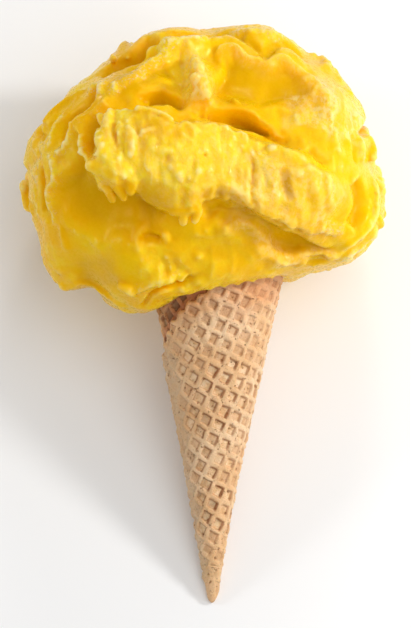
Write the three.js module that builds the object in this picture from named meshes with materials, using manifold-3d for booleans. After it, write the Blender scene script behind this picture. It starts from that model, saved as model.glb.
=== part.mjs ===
// Gelato in a rolled waffle cone, laid down on its back.
//
// The object is modelled upright first: origin at the point where the cone's
// straight sides would meet, +Z up the cone's axis, +X to the right and -Y to
// the front.  It is then laid on its back, so that the gelato's back and the
// cone's tip rest on the ground, and the ground plane z = 0 trims a small flat
// on each.  Units are millimetres.
import * as THREE from 'three';
import { mergeVertices } from 'three/addons/utils/BufferGeometryUtils.js';
import Module from 'manifold-3d';

// ---------------------------------------------------------------- dimensions
// rolled wafer
const CONE_TAN = 0.2;          // slope of the outer face, 11.3 degrees
const CONE_SIN = 0.196;        // turns an angle round the axis into one in the flat sheet
const TIP_Z = 6;               // blunt tip, above the meeting point of the sides
const TIP_ROUND = 2.4;         // height over which the tip rounds off
const RIM_BACK_Z = 127.5;      // the rolled disc stands highest at the back
const RIM_FRONT_Z = 106;       // and lowest at the front, where its two edges cross
const SHEET = 1.7;             // thickness of the baked sheet
const WALL = 2.6;              // wall where the layers overlap
const DISC_R = 65.2;           // the flat sheet is a disc whose edge passes the tip
const DISC_TURN = 32.5;        // degrees in the flat sheet from the front to its middle
const CONE_SIDES = 48;
const CONE_ROWS = 16;
const SEAM_RAMP = 9;           // degrees that the seam's step is spread over
const GAP = 0.3;               // clearance between gelato and wafer

// gelato
const CORE = [-3, -2, 137];    // point that all of the outer surface can be seen from
const BLEND = 3.2;             // how softly the scoops run into each other
const DETAIL = 17;             // icosahedron subdivision
const REACH = 78;              // start of the search for the surface

// laying down
const BETA = 17.2;             // degrees between the cone's axis and the ground
const FLOOR_TIP = [0, 7.2];    // the ground passes just inside the tip: radius, height
const FLAT_MIDDLE = [-6.3, 134.3]; // of the flat that the gelato rests on, before it is moved to the origin
const BIG = 400;

// scoops of gelato: centre x, y, z and half sizes
const SCOOPS = {
  body:       [-17.3, -3, 143.4, 41.0, 44, 35.9],
  top:        [9.8, 2, 164.0, 24.2, 34, 27.0],
  crown_left: [-15.0, 3, 173.0, 21.4, 25, 16.1],
  right_high: [28.5, -4, 151.7, 19.7, 30, 25.8],
  right_low:  [24.8, -3, 137.4, 25.3, 38, 23.6],
  right_foot: [36.7, -6, 127.4, 14.2, 22, 12.3],
  left:       [-37.0, -2, 134.2, 20.4, 31, 21.9],
  left_foot:  [-45.8, -6, 115.4, 8.2, 15, 9.4],
  front_foot: [-24.4, -10, 117.6, 13.9, 26, 17.1],
  back:       [-4.5, 13, 138.7, 35.6, 28, 31.5],
  waist:      [3.5, -4, 130.3, 34.6, 39, 11.9],
};
// lip that hangs round the cone: ring radius, tube radius, height, rise to the right
const SKIRT = { ring: 26.5, tube: 6.6, z: 114, rise: 0.22 };

// Folds left by the spatula.  Each runs through a few directions seen from the
// core, [azimuth, elevation] in degrees, with azimuth 0 to the front and 90 to
// the right.  h is how far it stands out (or sinks in, below zero); left and
// right are the half width and the softness of that side, as seen from outside
// when walking along it.  A list has one value for each direction.
const LEAST_SOFT = 2.8;        // steepest side that the facets can follow
const LEAST_HALF = 1.7;        // narrowest fold that they can follow
const FADE = 0.13;             // share of the length over which the ends run out
const FOLDS = [
  { name: 'ribbon', h: [5, 6, 6, 6, 6, 6, 6, 6, 6, 5.5, 5.5, 5, 5, 4.5, 4, 3.5, 2.5], left: [[6.5, 9, 9.3, 9.4, 10.4, 11, 13.2, 13, 11.2, 10.8, 11, 11.2, 10.6, 10.2, 9.8, 8.5, 5], 1.2], right: [[6.5, 9, 9.6, 8.2, 10, 11, 13.6, 11.5, 10.4, 10.4, 10.4, 10.6, 10, 9.6, 9, 8.5, 5], 0.9], blunt: true,
    at: [[-37, 17], [-34, 17], [-29, 17], [-24, 16], [-20, 14], [-15, 11], [-10, 9], [-5, 11], [0, 12], [7, 11], [15, 7], [26, 4], [31, 1], [36, -2], [40, -4], [45, -6], [52, -10]] },
  { name: 'lower sheet', h: [1.5, 3, 3.8, 3.6], left: [5.5, 2], right: [[2.6, 3.6, 3.4, 3], 0.6],
    at: [[-49, 23], [-42, 15], [-36, 8], [-32, 2]] },
  { name: 'sheet to the crest', h: [2, 3, 3.2, 3, 2], left: [2.5, 3], right: [0.3, 0.6],
    at: [[-43, 30], [-45, 27], [-49, 25], [-52, 22], [-55, 21]] },
  { name: 'deep valley', h: [-2, -4.5, -5.5, -5, -4.5, -3.5, -2], left: [1, 1.1], right: [2, 2],
    at: [[-49, 34], [-50, 31], [-54, 28], [-58, 25], [-59, 21], [-58, 17], [-60, 15]] },
  { name: 'top left sheet', h: [2, 2.6, 2.6, 2], left: [0.8, 0.8], right: [1.5, 4],
    at: [[-73, 20], [-73, 25], [-69, 30], [-63, 35]] },
  { name: 'far left edge', h: [1.5, 2.4, 2.6, 2.4, 2.6, 2.4, 1.2], left: [0.8, 1.2], right: [0.6, 0.5],
    at: [[-64, 12], [-59, 8], [-58, 4], [-61, 1], [-62, -4], [-62, -7], [-64, -12]] },
  { name: 'lower left valley', h: [-2.8, -4.6, -5.2, -5, -4.5, -2.5], left: [6.5, 5], right: [6, 6],
    at: [[-54, 8], [-49, 1], [-43, -6], [-33, -8], [-23, -7], [-16, -11]] },
  { name: 'first crest', h: [2.5, 3.4, 4, 4.2, 4.2, 4.2, 4.2, 4, 3.8, 3.2, 2.4], left: [0.5, 0.7], right: [6, 6.5],
    at: [[-58, 35], [-50, 35], [-44, 37], [-42, 40], [-38, 43], [-39, 51], [-36, 56], [-36, 61], [-30, 65], [-18, 71], [0, 71]] },
  { name: 'hollow behind it', h: [-2, -5, -6.5, -6.5, -4, -2], left: [3.4, 3], right: [2.6, 1],
    at: [[-65, 43], [-63, 48], [-59, 52], [-52, 56], [-52, 62], [-49, 68]] },
  { name: 'cave', h: [-1.5, -3.4, -4.6, -4.6, -3.6, -1.6], left: [0.3, 1.2], right: [2.6, 2.2],
    at: [[-33, 34], [-29, 39], [-25, 42], [-19, 42], [-14, 39], [-9, 35]] },
  { name: 'tongue', h: [2, 3, 3.6, 4, 3.8, 2.2], left: [[2, 2.4, 3, 3.4, 3.4, 2.6], 1.2], right: [4.2, 3.5],
    at: [[-21, 67], [-14, 61], [-8, 52], [-6, 44], [-6, 36], [-5, 33]] },
  { name: 'second crest', h: [1.6, 2.8, 3.2, 3.4, 3.2, 2.8, 2.4, 2, 1.8, 2.6, 3, 3, 3, 2.6, 1.5], left: [0.3, 0.7], right: [1.4, 3.2],
    at: [[4, 63], [10, 64], [16, 64], [21, 64], [25, 61], [27, 58], [31, 57], [34, 55], [36, 54], [42, 54], [46, 54], [49, 52], [52, 50], [55, 45], [58, 40]] },
  { name: 'smooth scoop', h: [-2.4, -3.4, -3.8, -3.2, -1.4], left: [6.5, 6], right: [6, 6],
    at: [[7, 54], [18, 49], [29, 45], [36, 39], [36, 34]] },
  { name: 'hanging layer', h: [1, 2.6, 3.6, 4, 3.8, 3.2, 2.4, 1], left: [3, 3.5], right: [0.2, 0.6],
    at: [[-5, 31], [1, 32], [11, 34], [18, 34], [23, 31], [29, 27], [34, 22], [38, 18]] },
  { name: 'crevice', h: [-2, -5, -7, -7.5, -6, -2.5], left: [[0.3, 1.1, 2.2, 2.3, 1.4, 0.4], 0.7], right: [[0.2, 1.2, 2.2, 2.2, 1.3, 0.4], 0.6],
    at: [[-5, 31], [2, 32], [13, 32], [21, 31], [26, 28], [32, 24]] },
  { name: 'right bulge', h: [1.5, 2.6, 2.8, 2.6, 1.5], left: [2.6, 3.4], right: [2.4, 2.6],
    at: [[55, 44], [55, 38], [54, 32], [53, 27], [50, 20]] },
  { name: 'valley under the ribbon', h: [-2, -4, -4.6, -4.8, -4.8, -4.8, -4.4, -3.6, -2], left: [2.6, 1.4], right: [3.6, 2.2],
    at: [[-2, -8], [3, -6], [9, -8], [16, -13], [25, -17], [37, -22], [48, -24], [57, -25], [62, -22]] },
  { name: 'ridge below it', h: [0.5, 1.6, 2.2, 2.6, 2.6, 2.6, 2.6, 2.2, 1.5], left: [0.4, 0.9], right: [2.4, 3],
    at: [[3, -14], [10, -14], [20, -16], [26, -20], [38, -28], [46, -29], [55, -25], [60, -23], [61, -20]] },
  { name: 'right edge', h: [1.5, 2.4, 2.4, 2.2, 2.2, 2, 1.2], left: [1.2, 1], right: [0.8, 0.8],
    at: [[70, 6], [69, 1], [68, -3], [67, -9], [64, -14], [62, -18], [61, -21]] },
  { name: 'right valley', h: [-2.2, -3.4, -3.4, -2], left: [2.4, 2], right: [2.8, 2.6],
    at: [[58, 4], [61, -2], [61, -8], [59, -13]] },
  { name: 'ribbon round the back', h: [1.2, 1.8, 2.6, 3.2, 2, 1.6, 1.5], left: [6.5, 1.2], right: [6.5, 1],
    at: [[58, -10], [78, -4], [100, 4], [125, 6], [155, 0], [-175, 6], [-148, 16]] },
  { name: 'right groove', h: [-2, -4.5, -5.5, -5, -2.5], left: [1.5, 1.2], right: [1.3, 1.1],
    at: [[62, 18], [85, 24], [112, 28], [145, 22], [175, 30]] },
  { name: 'high sheet', h: [1.2, 1.8, 3, 4.6, 4.4, 2.5], left: [0.5, 0.9], right: [5, 5],
    at: [[70, 44], [88, 49], [115, 50], [150, 46], [-170, 54], [-125, 52]] },
  { name: 'top groove', h: [-2, -4.5, -5, -4.5, -2], left: [2.2, 2], right: [2.4, 1.2],
    at: [[70, 62], [120, 66], [175, 68], [-120, 66], [-70, 60]] },
  { name: 'left ribbon', h: [1, 1.8, 3.6, 3, 1.2], left: [5, 1.2], right: [5.5, 1],
    at: [[-66, 20], [-88, 12], [-112, 16], [-140, 8], [-168, -2]] },
  { name: 'left groove', h: [-2.5, -5, -5.5, -3], left: [1.6, 1.2], right: [1.6, 1.6],
    at: [[-70, 42], [-95, 36], [-125, 38], [-155, 30]] },
  { name: 'left hollow', h: [-1, -3.6, -4.6, -2.5], left: [3.2, 3], right: [3.2, 3],
    at: [[-98, -8], [-112, -13], [-130, -10], [-155, -18]] },
  { name: 'right hollow', h: [-1, -3.4, -4.6, -2.5], left: [2.6, 2], right: [3, 2.6],
    at: [[88, -28], [104, -26], [122, -22], [150, -26]] },
  { name: 'low lip', h: [0.5, 2, 2.8, 2, 2.2, 1.8, 0.5], left: [2.2, 1], right: [2.2, 1],
    at: [[100, -40], [125, -40], [150, -38], [175, -40], [-145, -38], [-115, -34], [-98, -34]] },
];

// ---------------------------------------------------------------- solids
const wasm = await Module();
wasm.setup();

function solid(geometry) {
  const g = geometry.clone();
  g.deleteAttribute('normal');
  g.deleteAttribute('uv');
  const m = mergeVertices(g, 1e-4);
  return new wasm.Manifold(new wasm.Mesh({
    numProp: 3,
    vertProperties: new Float32Array(m.attributes.position.array),
    triVerts: new Uint32Array(m.index.array),
  }));
}

function geometryOf(manifold) {
  const mesh = manifold.getMesh();
  const pos = new Float32Array(mesh.numVert * 3);
  for (let i = 0; i < mesh.numVert; i++)
    for (let k = 0; k < 3; k++) pos[3 * i + k] = mesh.vertProperties[i * mesh.numProp + k];
  const g = new THREE.BufferGeometry();
  g.setAttribute('position', new THREE.BufferAttribute(pos, 3));
  g.setIndex(new THREE.BufferAttribute(new Uint32Array(mesh.triVerts), 1));
  g.computeVertexNormals();
  return g;
}

const rad = (d) => d * Math.PI / 180;
const clamp01 = (v) => Math.min(1, Math.max(0, v));
const smooth = (v) => { const t = clamp01(v); return t * t * (3 - 2 * t); };

// ---------------------------------------------------------------- wafer
// Outer radius at a height, with the blunt tip.
function coneRadius(z) {
  const t = clamp01((z - TIP_Z) / TIP_ROUND);
  return CONE_TAN * z * Math.sqrt(1 - (1 - t) * (1 - t));
}

// Where the disc's outer edge lies round the cone at a height, in degrees from
// the front: the flat sheet is a disc that passes the tip, and an angle in it
// becomes a larger one round the axis.
function seamAzimuth(z) {
  const half = THREE.MathUtils.radToDeg(Math.acos(Math.min(1, z * 1.02 / (2 * DISC_R))));
  return (DISC_TURN - half) / CONE_SIN;
}

// Inside face of the wafer: a plain cone with its own, higher apex.
const INNER_APEX = (WALL + 0.6) / CONE_TAN + 4;

// A turned solid about +Z from a profile that starts and ends on the axis.
function turned(profile) {
  const g = new THREE.LatheGeometry(profile, CONE_SIDES);
  g.rotateX(Math.PI / 2);
  return g;
}

function closed(g) {
  let s = solid(g);
  if (s.volume() < 0) { flip(g); s = solid(g); }
  return s;
}

// The rolled wafer.  Its outside steps down at the seam by one sheet and creeps
// back up over one turn; grow swells the shell all round.
function wafer(grow) {
  const top = RIM_BACK_Z + 8;
  const profile = [new THREE.Vector2(0, TIP_Z - grow)];
  for (let i = 1; i <= 4; i++) {
    const z = TIP_Z + TIP_ROUND * (1 - Math.cos(Math.PI / 2 * i / 4));
    profile.push(new THREE.Vector2(coneRadius(z), z - grow * (1 - i / 4)));
  }
  const z0 = TIP_Z + TIP_ROUND;
  for (let i = 1; i <= CONE_ROWS; i++) {
    const z = z0 + (top - z0) * (i / CONE_ROWS) ** 1.25;
    profile.push(new THREE.Vector2(coneRadius(z), z));
  }
  profile.push(new THREE.Vector2(0, top));
  const g = turned(profile);
  const p = g.attributes.position;
  for (let i = 0; i < p.count; i++) {
    const x = p.getX(i), y = p.getY(i), z = p.getZ(i);
    const r = Math.hypot(x, y);
    if (r < 1e-6) continue;
    const az = THREE.MathUtils.radToDeg(Math.atan2(x, -y));
    const a = ((az - seamAzimuth(Math.min(z, RIM_FRONT_Z))) % 360 + 360) % 360;
    const step = a > 360 - SEAM_RAMP ? (360 - a) / SEAM_RAMP : a / (360 - SEAM_RAMP);
    const depth = SHEET * smooth((z - TIP_Z) / 60 + 0.1) * step;
    const k = (r - Math.min(depth, r * 0.5) + grow) / r;
    p.setXY(i, x * k, y * k);
  }
  const hollow = closed(turned([new THREE.Vector2(0, INNER_APEX),
    new THREE.Vector2(CONE_TAN * (top + 2 - INNER_APEX) - grow, top + 2), new THREE.Vector2(0, top + 2)]));
  const lid = new THREE.BoxGeometry(BIG, BIG, BIG);
  lid.translate(0, 0, BIG / 2);
  lid.rotateX(Math.atan2(RIM_BACK_Z - RIM_FRONT_Z, 2 * CONE_TAN * (RIM_BACK_Z + RIM_FRONT_Z) / 2));
  lid.translate(0, 0, (RIM_BACK_Z + RIM_FRONT_Z) / 2 + grow * 1.3);
  return closed(g).subtract(hollow).subtract(solid(lid));
}

function flip(g) {
  const ix = g.index.array;
  for (let i = 0; i < ix.length; i += 3) { const t = ix[i]; ix[i] = ix[i + 1]; ix[i + 1] = t; }
}

// Gelato pressed into the wafer: the same inner cone, less the clearance.
function plug() {
  const z0 = INNER_APEX + 3, z1 = RIM_BACK_Z + 4;
  const r = (z) => CONE_TAN * (z - INNER_APEX) - GAP;
  return closed(turned([new THREE.Vector2(0, z0), new THREE.Vector2(r(z0), z0),
    new THREE.Vector2(r(z1), z1), new THREE.Vector2(0, z1)]));
}

// ---------------------------------------------------------------- gelato
const scoops = Object.values(SCOOPS);

// Distance-like value: below zero inside the smooth sum of scoops and skirt.
function base(x, y, z) {
  let sum = 0;
  for (const [cx, cy, cz, rx, ry, rz] of scoops) {
    const dx = (x - cx) / rx, dy = (y - cy) / ry, dz = (z - cz) / rz;
    const k0 = Math.sqrt(dx * dx + dy * dy + dz * dz);
    const k1 = Math.sqrt((dx / rx) ** 2 + (dy / ry) ** 2 + (dz / rz) ** 2);
    const d = k1 > 1e-9 ? k0 * (k0 - 1) / k1 : -Math.min(rx, ry, rz);
    sum += Math.exp(-d / BLEND);
  }
  const q = Math.hypot(Math.hypot(x, y) - SKIRT.ring, z - SKIRT.z - SKIRT.rise * x) - SKIRT.tube;
  sum += Math.exp(-q / BLEND);
  return -BLEND * Math.log(sum);
}

function gradient(p) {
  const e = 0.5;
  return new THREE.Vector3(
    base(p.x + e, p.y, p.z) - base(p.x - e, p.y, p.z),
    base(p.x, p.y + e, p.z) - base(p.x, p.y - e, p.z),
    base(p.x, p.y, p.z + e) - base(p.x, p.y, p.z - e)).normalize();
}

// First crossing of f = 0 along a ray that comes in from far out.
function hit(f, from, dir, far) {
  let a = far, step = 1.0;
  while (a > 4 && f(from.x + dir.x * a, from.y + dir.y * a, from.z + dir.z * a) > 0) a -= step;
  let lo = a, hi = a + step;
  for (let i = 0; i < 18; i++) {
    const m = (lo + hi) / 2;
    if (f(from.x + dir.x * m, from.y + dir.y * m, from.z + dir.z * m) > 0) hi = m; else lo = m;
  }
  return lo;
}

const core = new THREE.Vector3(...CORE);

function place([azimuth, elevation]) {
  const a = rad(azimuth), e = rad(elevation);
  const d = new THREE.Vector3(Math.sin(a) * Math.cos(e), -Math.cos(a) * Math.cos(e), Math.sin(e));
  return core.clone().addScaledVector(d, hit(base, core, d, REACH));
}

// Value of a number or list at a share u of the length.
function along(v, u) {
  if (!Array.isArray(v)) return v;
  const t = Math.min(v.length - 1.000001, Math.max(0, u * (v.length - 1)));
  const i = Math.floor(t);
  return v[i] + (v[i + 1] - v[i]) * (t - i);
}

// Each fold becomes a smooth line over the scoops with an outward normal and a
// sideways direction at every step; u counts evenly from one direction to the next.
const folds = FOLDS.map((f) => {
  const curve = new THREE.CatmullRomCurve3(f.at.map(place));
  const n = Math.max(8, Math.round(curve.getLength() / 3.5));
  const segs = [];
  for (let i = 0; i < n; i++) {
    const a = curve.getPoint(i / n), b = curve.getPoint((i + 1) / n);
    const t = b.clone().sub(a);
    const len = t.length();
    t.normalize();
    const nn = gradient(a.clone().lerp(b, 0.5));
    const side = nn.clone().cross(t).normalize();
    segs.push({ a, t, len, nn, side, u: i / n, du: 1 / n });
  }
  const widest = (v) => Math.max(...[v].flat());
  const reach = Math.max(widest(f.left[0]) + f.left[1], widest(f.right[0]) + f.right[1]) + 6;
  const box = new THREE.Box3().setFromPoints(segs.map((g) => g.a)).expandByScalar(reach);
  return { ...f, segs, box };
});

// 1 inside the half width, easing to 0 over the softness.
function flank(s, [half, soft], u) {
  const e = Math.max(soft, LEAST_SOFT);
  return 1 - smooth((s - Math.max(along(half, u), LEAST_HALF) + e) / (2 * e));
}

function folding(x, y, z) {
  let h = 0;
  for (const f of folds) {
    if (x < f.box.min.x || x > f.box.max.x || y < f.box.min.y || y > f.box.max.y || z < f.box.min.z || z > f.box.max.z) continue;
    let sum = 0, s = 0, u = 0, off = 0, best = Infinity, beyond = 0;
    f.segs.forEach((g, i) => {
      const dx = x - g.a.x, dy = y - g.a.y, dz = z - g.a.z;
      const l = dx * g.t.x + dy * g.t.y + dz * g.t.z;
      const c = Math.min(g.len, Math.max(0, l));
      const qx = dx - g.t.x * c, qy = dy - g.t.y * c, qz = dz - g.t.z * c;
      const d2 = qx * qx + qy * qy + qz * qz;
      const w = 1 / (d2 + 0.3) ** 3;
      sum += w;
      s += w * (qx * g.side.x + qy * g.side.y + qz * g.side.z);
      off += w * Math.abs(qx * g.nn.x + qy * g.nn.y + qz * g.nn.z);
      u += w * (g.u + g.du * c / g.len);
      if (d2 < best) {
        best = d2;
        beyond = i === 0 && l < 0 ? -l : i === f.segs.length - 1 && l > g.len ? l - g.len : 0;
      }
    });
    s /= sum; u /= sum; off /= sum;
    let taper = f.blunt ? smooth((1 - u) / FADE) : smooth(u / FADE) * smooth((1 - u) / FADE);
    taper *= (1 - smooth(beyond / 4)) * (1 - smooth((off - 12) / 8));
    h += along(f.h, u) * taper * flank(s, f.left, u) * flank(-s, f.right, u);
  }
  return h;
}

function gelatoBody() {
  const g = new THREE.IcosahedronGeometry(1, DETAIL);
  const p = g.attributes.position;
  const field = (x, y, z) => base(x, y, z) - folding(x, y, z);
  const d = new THREE.Vector3();
  const seen = new Map();
  for (let i = 0; i < p.count; i++) {
    d.fromBufferAttribute(p, i).normalize();
    const key = d.toArray().map((v) => Math.round(v * 1e5)).join();
    if (!seen.has(key)) {
      const r = hit(field, core, d, REACH);
      seen.set(key, core.clone().addScaledVector(d, r));
    }
    const q = seen.get(key);
    p.setXYZ(i, q.x, q.y, q.z);
  }
  return solid(g);
}

// ---------------------------------------------------------------- laid down
// The ground plane passes the tip; a point y back and z up goes to
// y' = y sin + z cos along the ground, z' = -y cos + z sin above it.
const beta = rad(BETA);
const turn = new THREE.Matrix4().makeRotationX(-(Math.PI / 2 - beta));
const tipBack = new THREE.Vector3(0, CONE_TAN * FLOOR_TIP[1] * 0.75, FLOOR_TIP[1]).applyMatrix4(turn);

function layDown(manifold) {
  const g = geometryOf(manifold);
  g.applyMatrix4(turn);
  g.translate(0, 0, -tipBack.z);
  const ground = new THREE.BoxGeometry(BIG, BIG, BIG);
  ground.translate(0, 0, -BIG / 2);
  return solid(g).subtract(solid(ground));
}

const shell = wafer(0);
const grown = wafer(GAP);
const gelatoLaid = layDown(gelatoBody().add(plug()).subtract(grown));
const waferLaid = layDown(shell);

const group = new THREE.Group();
const gelato = new THREE.Mesh(geometryOf(gelatoLaid),
  new THREE.MeshStandardMaterial({ color: 0xf0c020, roughness: 0.35, metalness: 0 }));
gelato.name = 'gelato';
const wafers = new THREE.Mesh(geometryOf(waferLaid),
  new THREE.MeshStandardMaterial({ color: 0xd4a57c, roughness: 0.8, metalness: 0 }));
wafers.name = 'waffle_cone';
group.add(gelato, wafers);
// the origin is the middle of the gelato's resting flat
group.position.set(-FLAT_MIDDLE[0], -FLAT_MIDDLE[1], 0);

export default group;
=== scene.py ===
import bpy
import math
import numpy as np
from mathutils import Matrix, Vector


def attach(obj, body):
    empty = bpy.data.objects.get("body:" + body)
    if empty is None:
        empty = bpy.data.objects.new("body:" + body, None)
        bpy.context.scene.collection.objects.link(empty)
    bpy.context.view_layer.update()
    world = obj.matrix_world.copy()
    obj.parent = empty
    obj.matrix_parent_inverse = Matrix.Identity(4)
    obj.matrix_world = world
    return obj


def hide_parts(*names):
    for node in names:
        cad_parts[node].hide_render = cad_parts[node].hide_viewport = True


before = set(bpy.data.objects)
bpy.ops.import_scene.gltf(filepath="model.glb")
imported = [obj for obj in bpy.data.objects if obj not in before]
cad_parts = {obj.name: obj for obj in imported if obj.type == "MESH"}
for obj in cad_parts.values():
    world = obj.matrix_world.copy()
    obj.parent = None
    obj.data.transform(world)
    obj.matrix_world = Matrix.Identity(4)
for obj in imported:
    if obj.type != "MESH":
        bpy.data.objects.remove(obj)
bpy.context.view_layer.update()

# ------------------------------------------------------------------ frames
# The object is shaped upright, in millimetres: origin where the cone's sides
# would meet, z up the cone's axis, x to the right, y to the back. lay() puts
# it in the row's frame, in metres, on its back.
BETA = math.radians(17.2)
SB, CB = math.sin(BETA), math.cos(BETA)
FLOOR = -CB * 0.2 * 7.2 * 0.75 + SB * 7.2
REST = (-6.3, 134.3)
MM_PER_PX = 0.32
LEAN = math.radians(0.63)


def lay(p):
    x, y, z = p[:, 0], p[:, 1], p[:, 2]
    return np.stack([x - REST[0], y * SB + z * CB - REST[1], -y * CB + z * SB - FLOOR], 1) / 1000.0


def height(p):
    """Height over the ground, in millimetres, of upright points."""
    return -p[:, 1] * CB + p[:, 2] * SB - FLOOR


def from_px(x, y):
    """A place in the 411 x 628 picture as upright x and z in millimetres."""
    dx, dy = x - 211.7, 621.5 - y
    c, s = math.cos(LEAN), math.sin(LEAN)
    return ((dx * c - dy * s) * MM_PER_PX, (dx * s + dy * c) * MM_PER_PX)


# ------------------------------------------------------------------ noise
_rng = np.random.RandomState(7)
_PERM = np.concatenate([_rng.permutation(256)] * 3).astype(np.int32)
_VAL = (_rng.rand(8, 256) * 2 - 1).astype(np.float32)


def noise(p, scale, seed=0):
    """Smooth value noise in -1..1 at points p (N, 3); scale is its wavelength."""
    q = p / np.float32(scale) + np.float32(37.7 + 11.3 * seed)
    i = np.floor(q).astype(np.int32)
    f = (q - i).astype(np.float32)
    f = f * f * f * (f * (f * 6 - 15) + 10)
    i &= 255
    val = _VAL[seed % 8]
    out = np.zeros(len(p), np.float32)
    for cx in (0, 1):
        wx = f[:, 0] if cx else 1 - f[:, 0]
        hx = _PERM[(i[:, 0] + cx) & 255]
        for cy in (0, 1):
            wy = f[:, 1] if cy else 1 - f[:, 1]
            hy = _PERM[hx + ((i[:, 1] + cy) & 255)]
            for cz in (0, 1):
                wz = f[:, 2] if cz else 1 - f[:, 2]
                out += wx * wy * wz * val[_PERM[hy + ((i[:, 2] + cz) & 255)] & 255]
    return out


def fractal(p, scale, octaves=3, seed=0, gain=0.5):
    out = np.zeros(len(p), np.float32)
    amp, total = 1.0, 0.0
    for k in range(octaves):
        out += amp * noise(p, scale / 2 ** k, seed + k)
        total += amp
        amp *= gain
    return out / total


def ss(t):
    t = np.clip(t, 0, 1)
    return t * t * (3 - 2 * t)


# ------------------------------------------------------------------ gelato
CORE = np.array([-3.0, -2.0, 137.0])
BLEND = 3.2
SCOOPS = np.array([  # centre x, y, z and half sizes
    [-17.3, -3, 143.4, 41.0, 44, 35.9],
    [9.8, 2, 164.0, 24.2, 34, 27.0],
    [-15.0, 3, 173.0, 21.4, 25, 16.1],
    [28.5, -4, 151.7, 19.7, 30, 25.8],
    [24.8, -3, 137.4, 25.3, 38, 23.6],
    [36.7, -6, 127.4, 14.2, 22, 12.3],
    [-37.0, -2, 134.2, 20.4, 31, 21.9],
    [-45.8, -6, 115.4, 8.2, 15, 9.4],
    [-24.4, -10, 117.6, 13.9, 26, 17.1],
    [-4.5, 13, 138.7, 35.6, 28, 31.5],
    [3.5, -4, 130.3, 34.6, 39, 11.9],
], np.float32)
SKIRT_RING, SKIRT_TUBE, SKIRT_Z, SKIRT_RISE = 26.5, 6.6, 114.0, 0.22


def base(p):
    """Distance-like value in millimetres, below zero inside the smooth sum of the scoops."""
    p = p.astype(np.float32)
    total = np.zeros(len(p), np.float32)
    for cx, cy, cz, rx, ry, rz in SCOOPS:
        d = p - np.array([cx, cy, cz], np.float32)
        r = np.array([rx, ry, rz], np.float32)
        k0 = np.sqrt(((d / r) ** 2).sum(1))
        k1 = np.sqrt(((d / (r * r)) ** 2).sum(1)) + 1e-6
        total += np.exp(-np.clip(k0 * (k0 - 1) / k1, -60, 60) / BLEND)
    q = np.hypot(np.hypot(p[:, 0], p[:, 1]) - SKIRT_RING, p[:, 2] - SKIRT_Z - SKIRT_RISE * p[:, 0]) - SKIRT_TUBE
    total += np.exp(-q / BLEND)
    return -BLEND * np.log(total)


def hits(origins, dirs, far=80.0):
    """Outermost crossing of the scoops' surface on each ray."""
    lo = np.zeros(len(origins))
    steps = np.arange(far, 0, -1.0)
    pts = origins[:, None, :] + dirs[:, None, :] * steps[None, :, None]
    v = base(pts.reshape(-1, 3)).reshape(len(origins), -1)
    first = np.argmax(v < 0, axis=1)
    lo, hi = steps[first], steps[first] + 1.0
    for _ in range(12):
        m = (lo + hi) / 2
        out = base(origins + dirs * m[:, None]) > 0
        hi = np.where(out, m, hi)
        lo = np.where(out, lo, m)
    return origins + dirs * lo[:, None]


def normals(p):
    g = np.zeros((len(p), 3))
    for k in range(3):
        e = np.zeros(3)
        e[k] = 0.6
        g[:, k] = base(p + e) - base(p - e)
    return g / np.linalg.norm(g, axis=1, keepdims=True)


def spline(cp, step):
    """Catmull-Rom through control points of any dimension."""
    cp = np.asarray(cp, float)
    ext = np.vstack([2 * cp[0] - cp[1], cp, 2 * cp[-1] - cp[-2]])
    out = []
    for i in range(len(cp) - 1):
        a, b, c, d = ext[i:i + 4]
        n = max(2, int(np.linalg.norm((c - b)[:3]) / step))
        t = (np.arange(n) / n)[:, None]
        out.append(0.5 * (2 * b + (c - a) * t + (2 * a - 5 * b + 4 * c - d) * t ** 2 + (3 * b - a - 3 * c + d) * t ** 3))
    out.append(cp[-1:])
    return np.vstack(out)


FOLDS = []


def fold(at, h, left=(3, 1), right=(3, 1), shear=0.0, ends=(0.2, 0.2), ragged=0.0, rough=0.0, smooth=0.0, caps=None, on=0.0, icy=0.0, pale_highlight=0.0):
    """One pass of the spatula: a line over the scoops, raised (or sunk) by h.
    left and right are (half width, softness of that side), as seen from
    outside when walking along the line; any of h and the widths may be a list
    over the control points. shear hangs the right side over. ends are the
    shares of the length that fade in and out; caps (mm) end it bluntly. on is
    the height of what it lies on; icy marks sparkling crumbs of ice, their
    glints partly painted into the colour as whitish specks; pale marks creamy
    places, painted paler, partly as a painted highlight."""
    FOLDS.append(dict(icy=icy, pale_highlight=pale_highlight, on=on, at=at, h=h, left=left, right=right, shear=shear, ends=ends, ragged=ragged, rough=rough, smooth=smooth, caps=caps))


def polar(az, el):
    a, e = math.radians(az), math.radians(el)
    return (math.sin(a) * math.cos(e), -math.cos(a) * math.cos(e), math.sin(e))


def place(spots, heights=0.0):
    """Points on the scoops under the given spots. A picture spot is where
    the point shows once it is raised by its height."""
    heights = np.broadcast_to(np.asarray(heights, float), (len(spots),))
    seen = np.array([len(s) == 2 for s in spots])
    dirs = np.array([(0, -1, 0) if len(s) == 2 else polar(s[1], s[2]) for s in spots], float)
    start = np.array([(lambda q: (q[0], 0, q[1]))(from_px(*s)) if len(s) == 2 else CORE for s in spots], float)
    now = start.copy()
    for _ in range(4):
        # spots beside the scoops are drawn in until they meet them
        for _ in range(40):
            miss = seen & (base(now + np.array([0, -9.0, 0])) > -0.3)
            if not miss.any():
                break
            now[miss] += (CORE - now[miss]) * np.array([1, 0, 1]) * 0.012
        pos = hits(now, dirs)
        if not (seen & (heights > 0)).any():
            break
        n = normals(pos)
        shown = pos + n * np.maximum(heights, 0)[:, None]
        err = (start - shown) * np.array([1, 0, 1])
        now = np.where(seen[:, None], now + 0.8 * err, now)
    return pos


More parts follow.
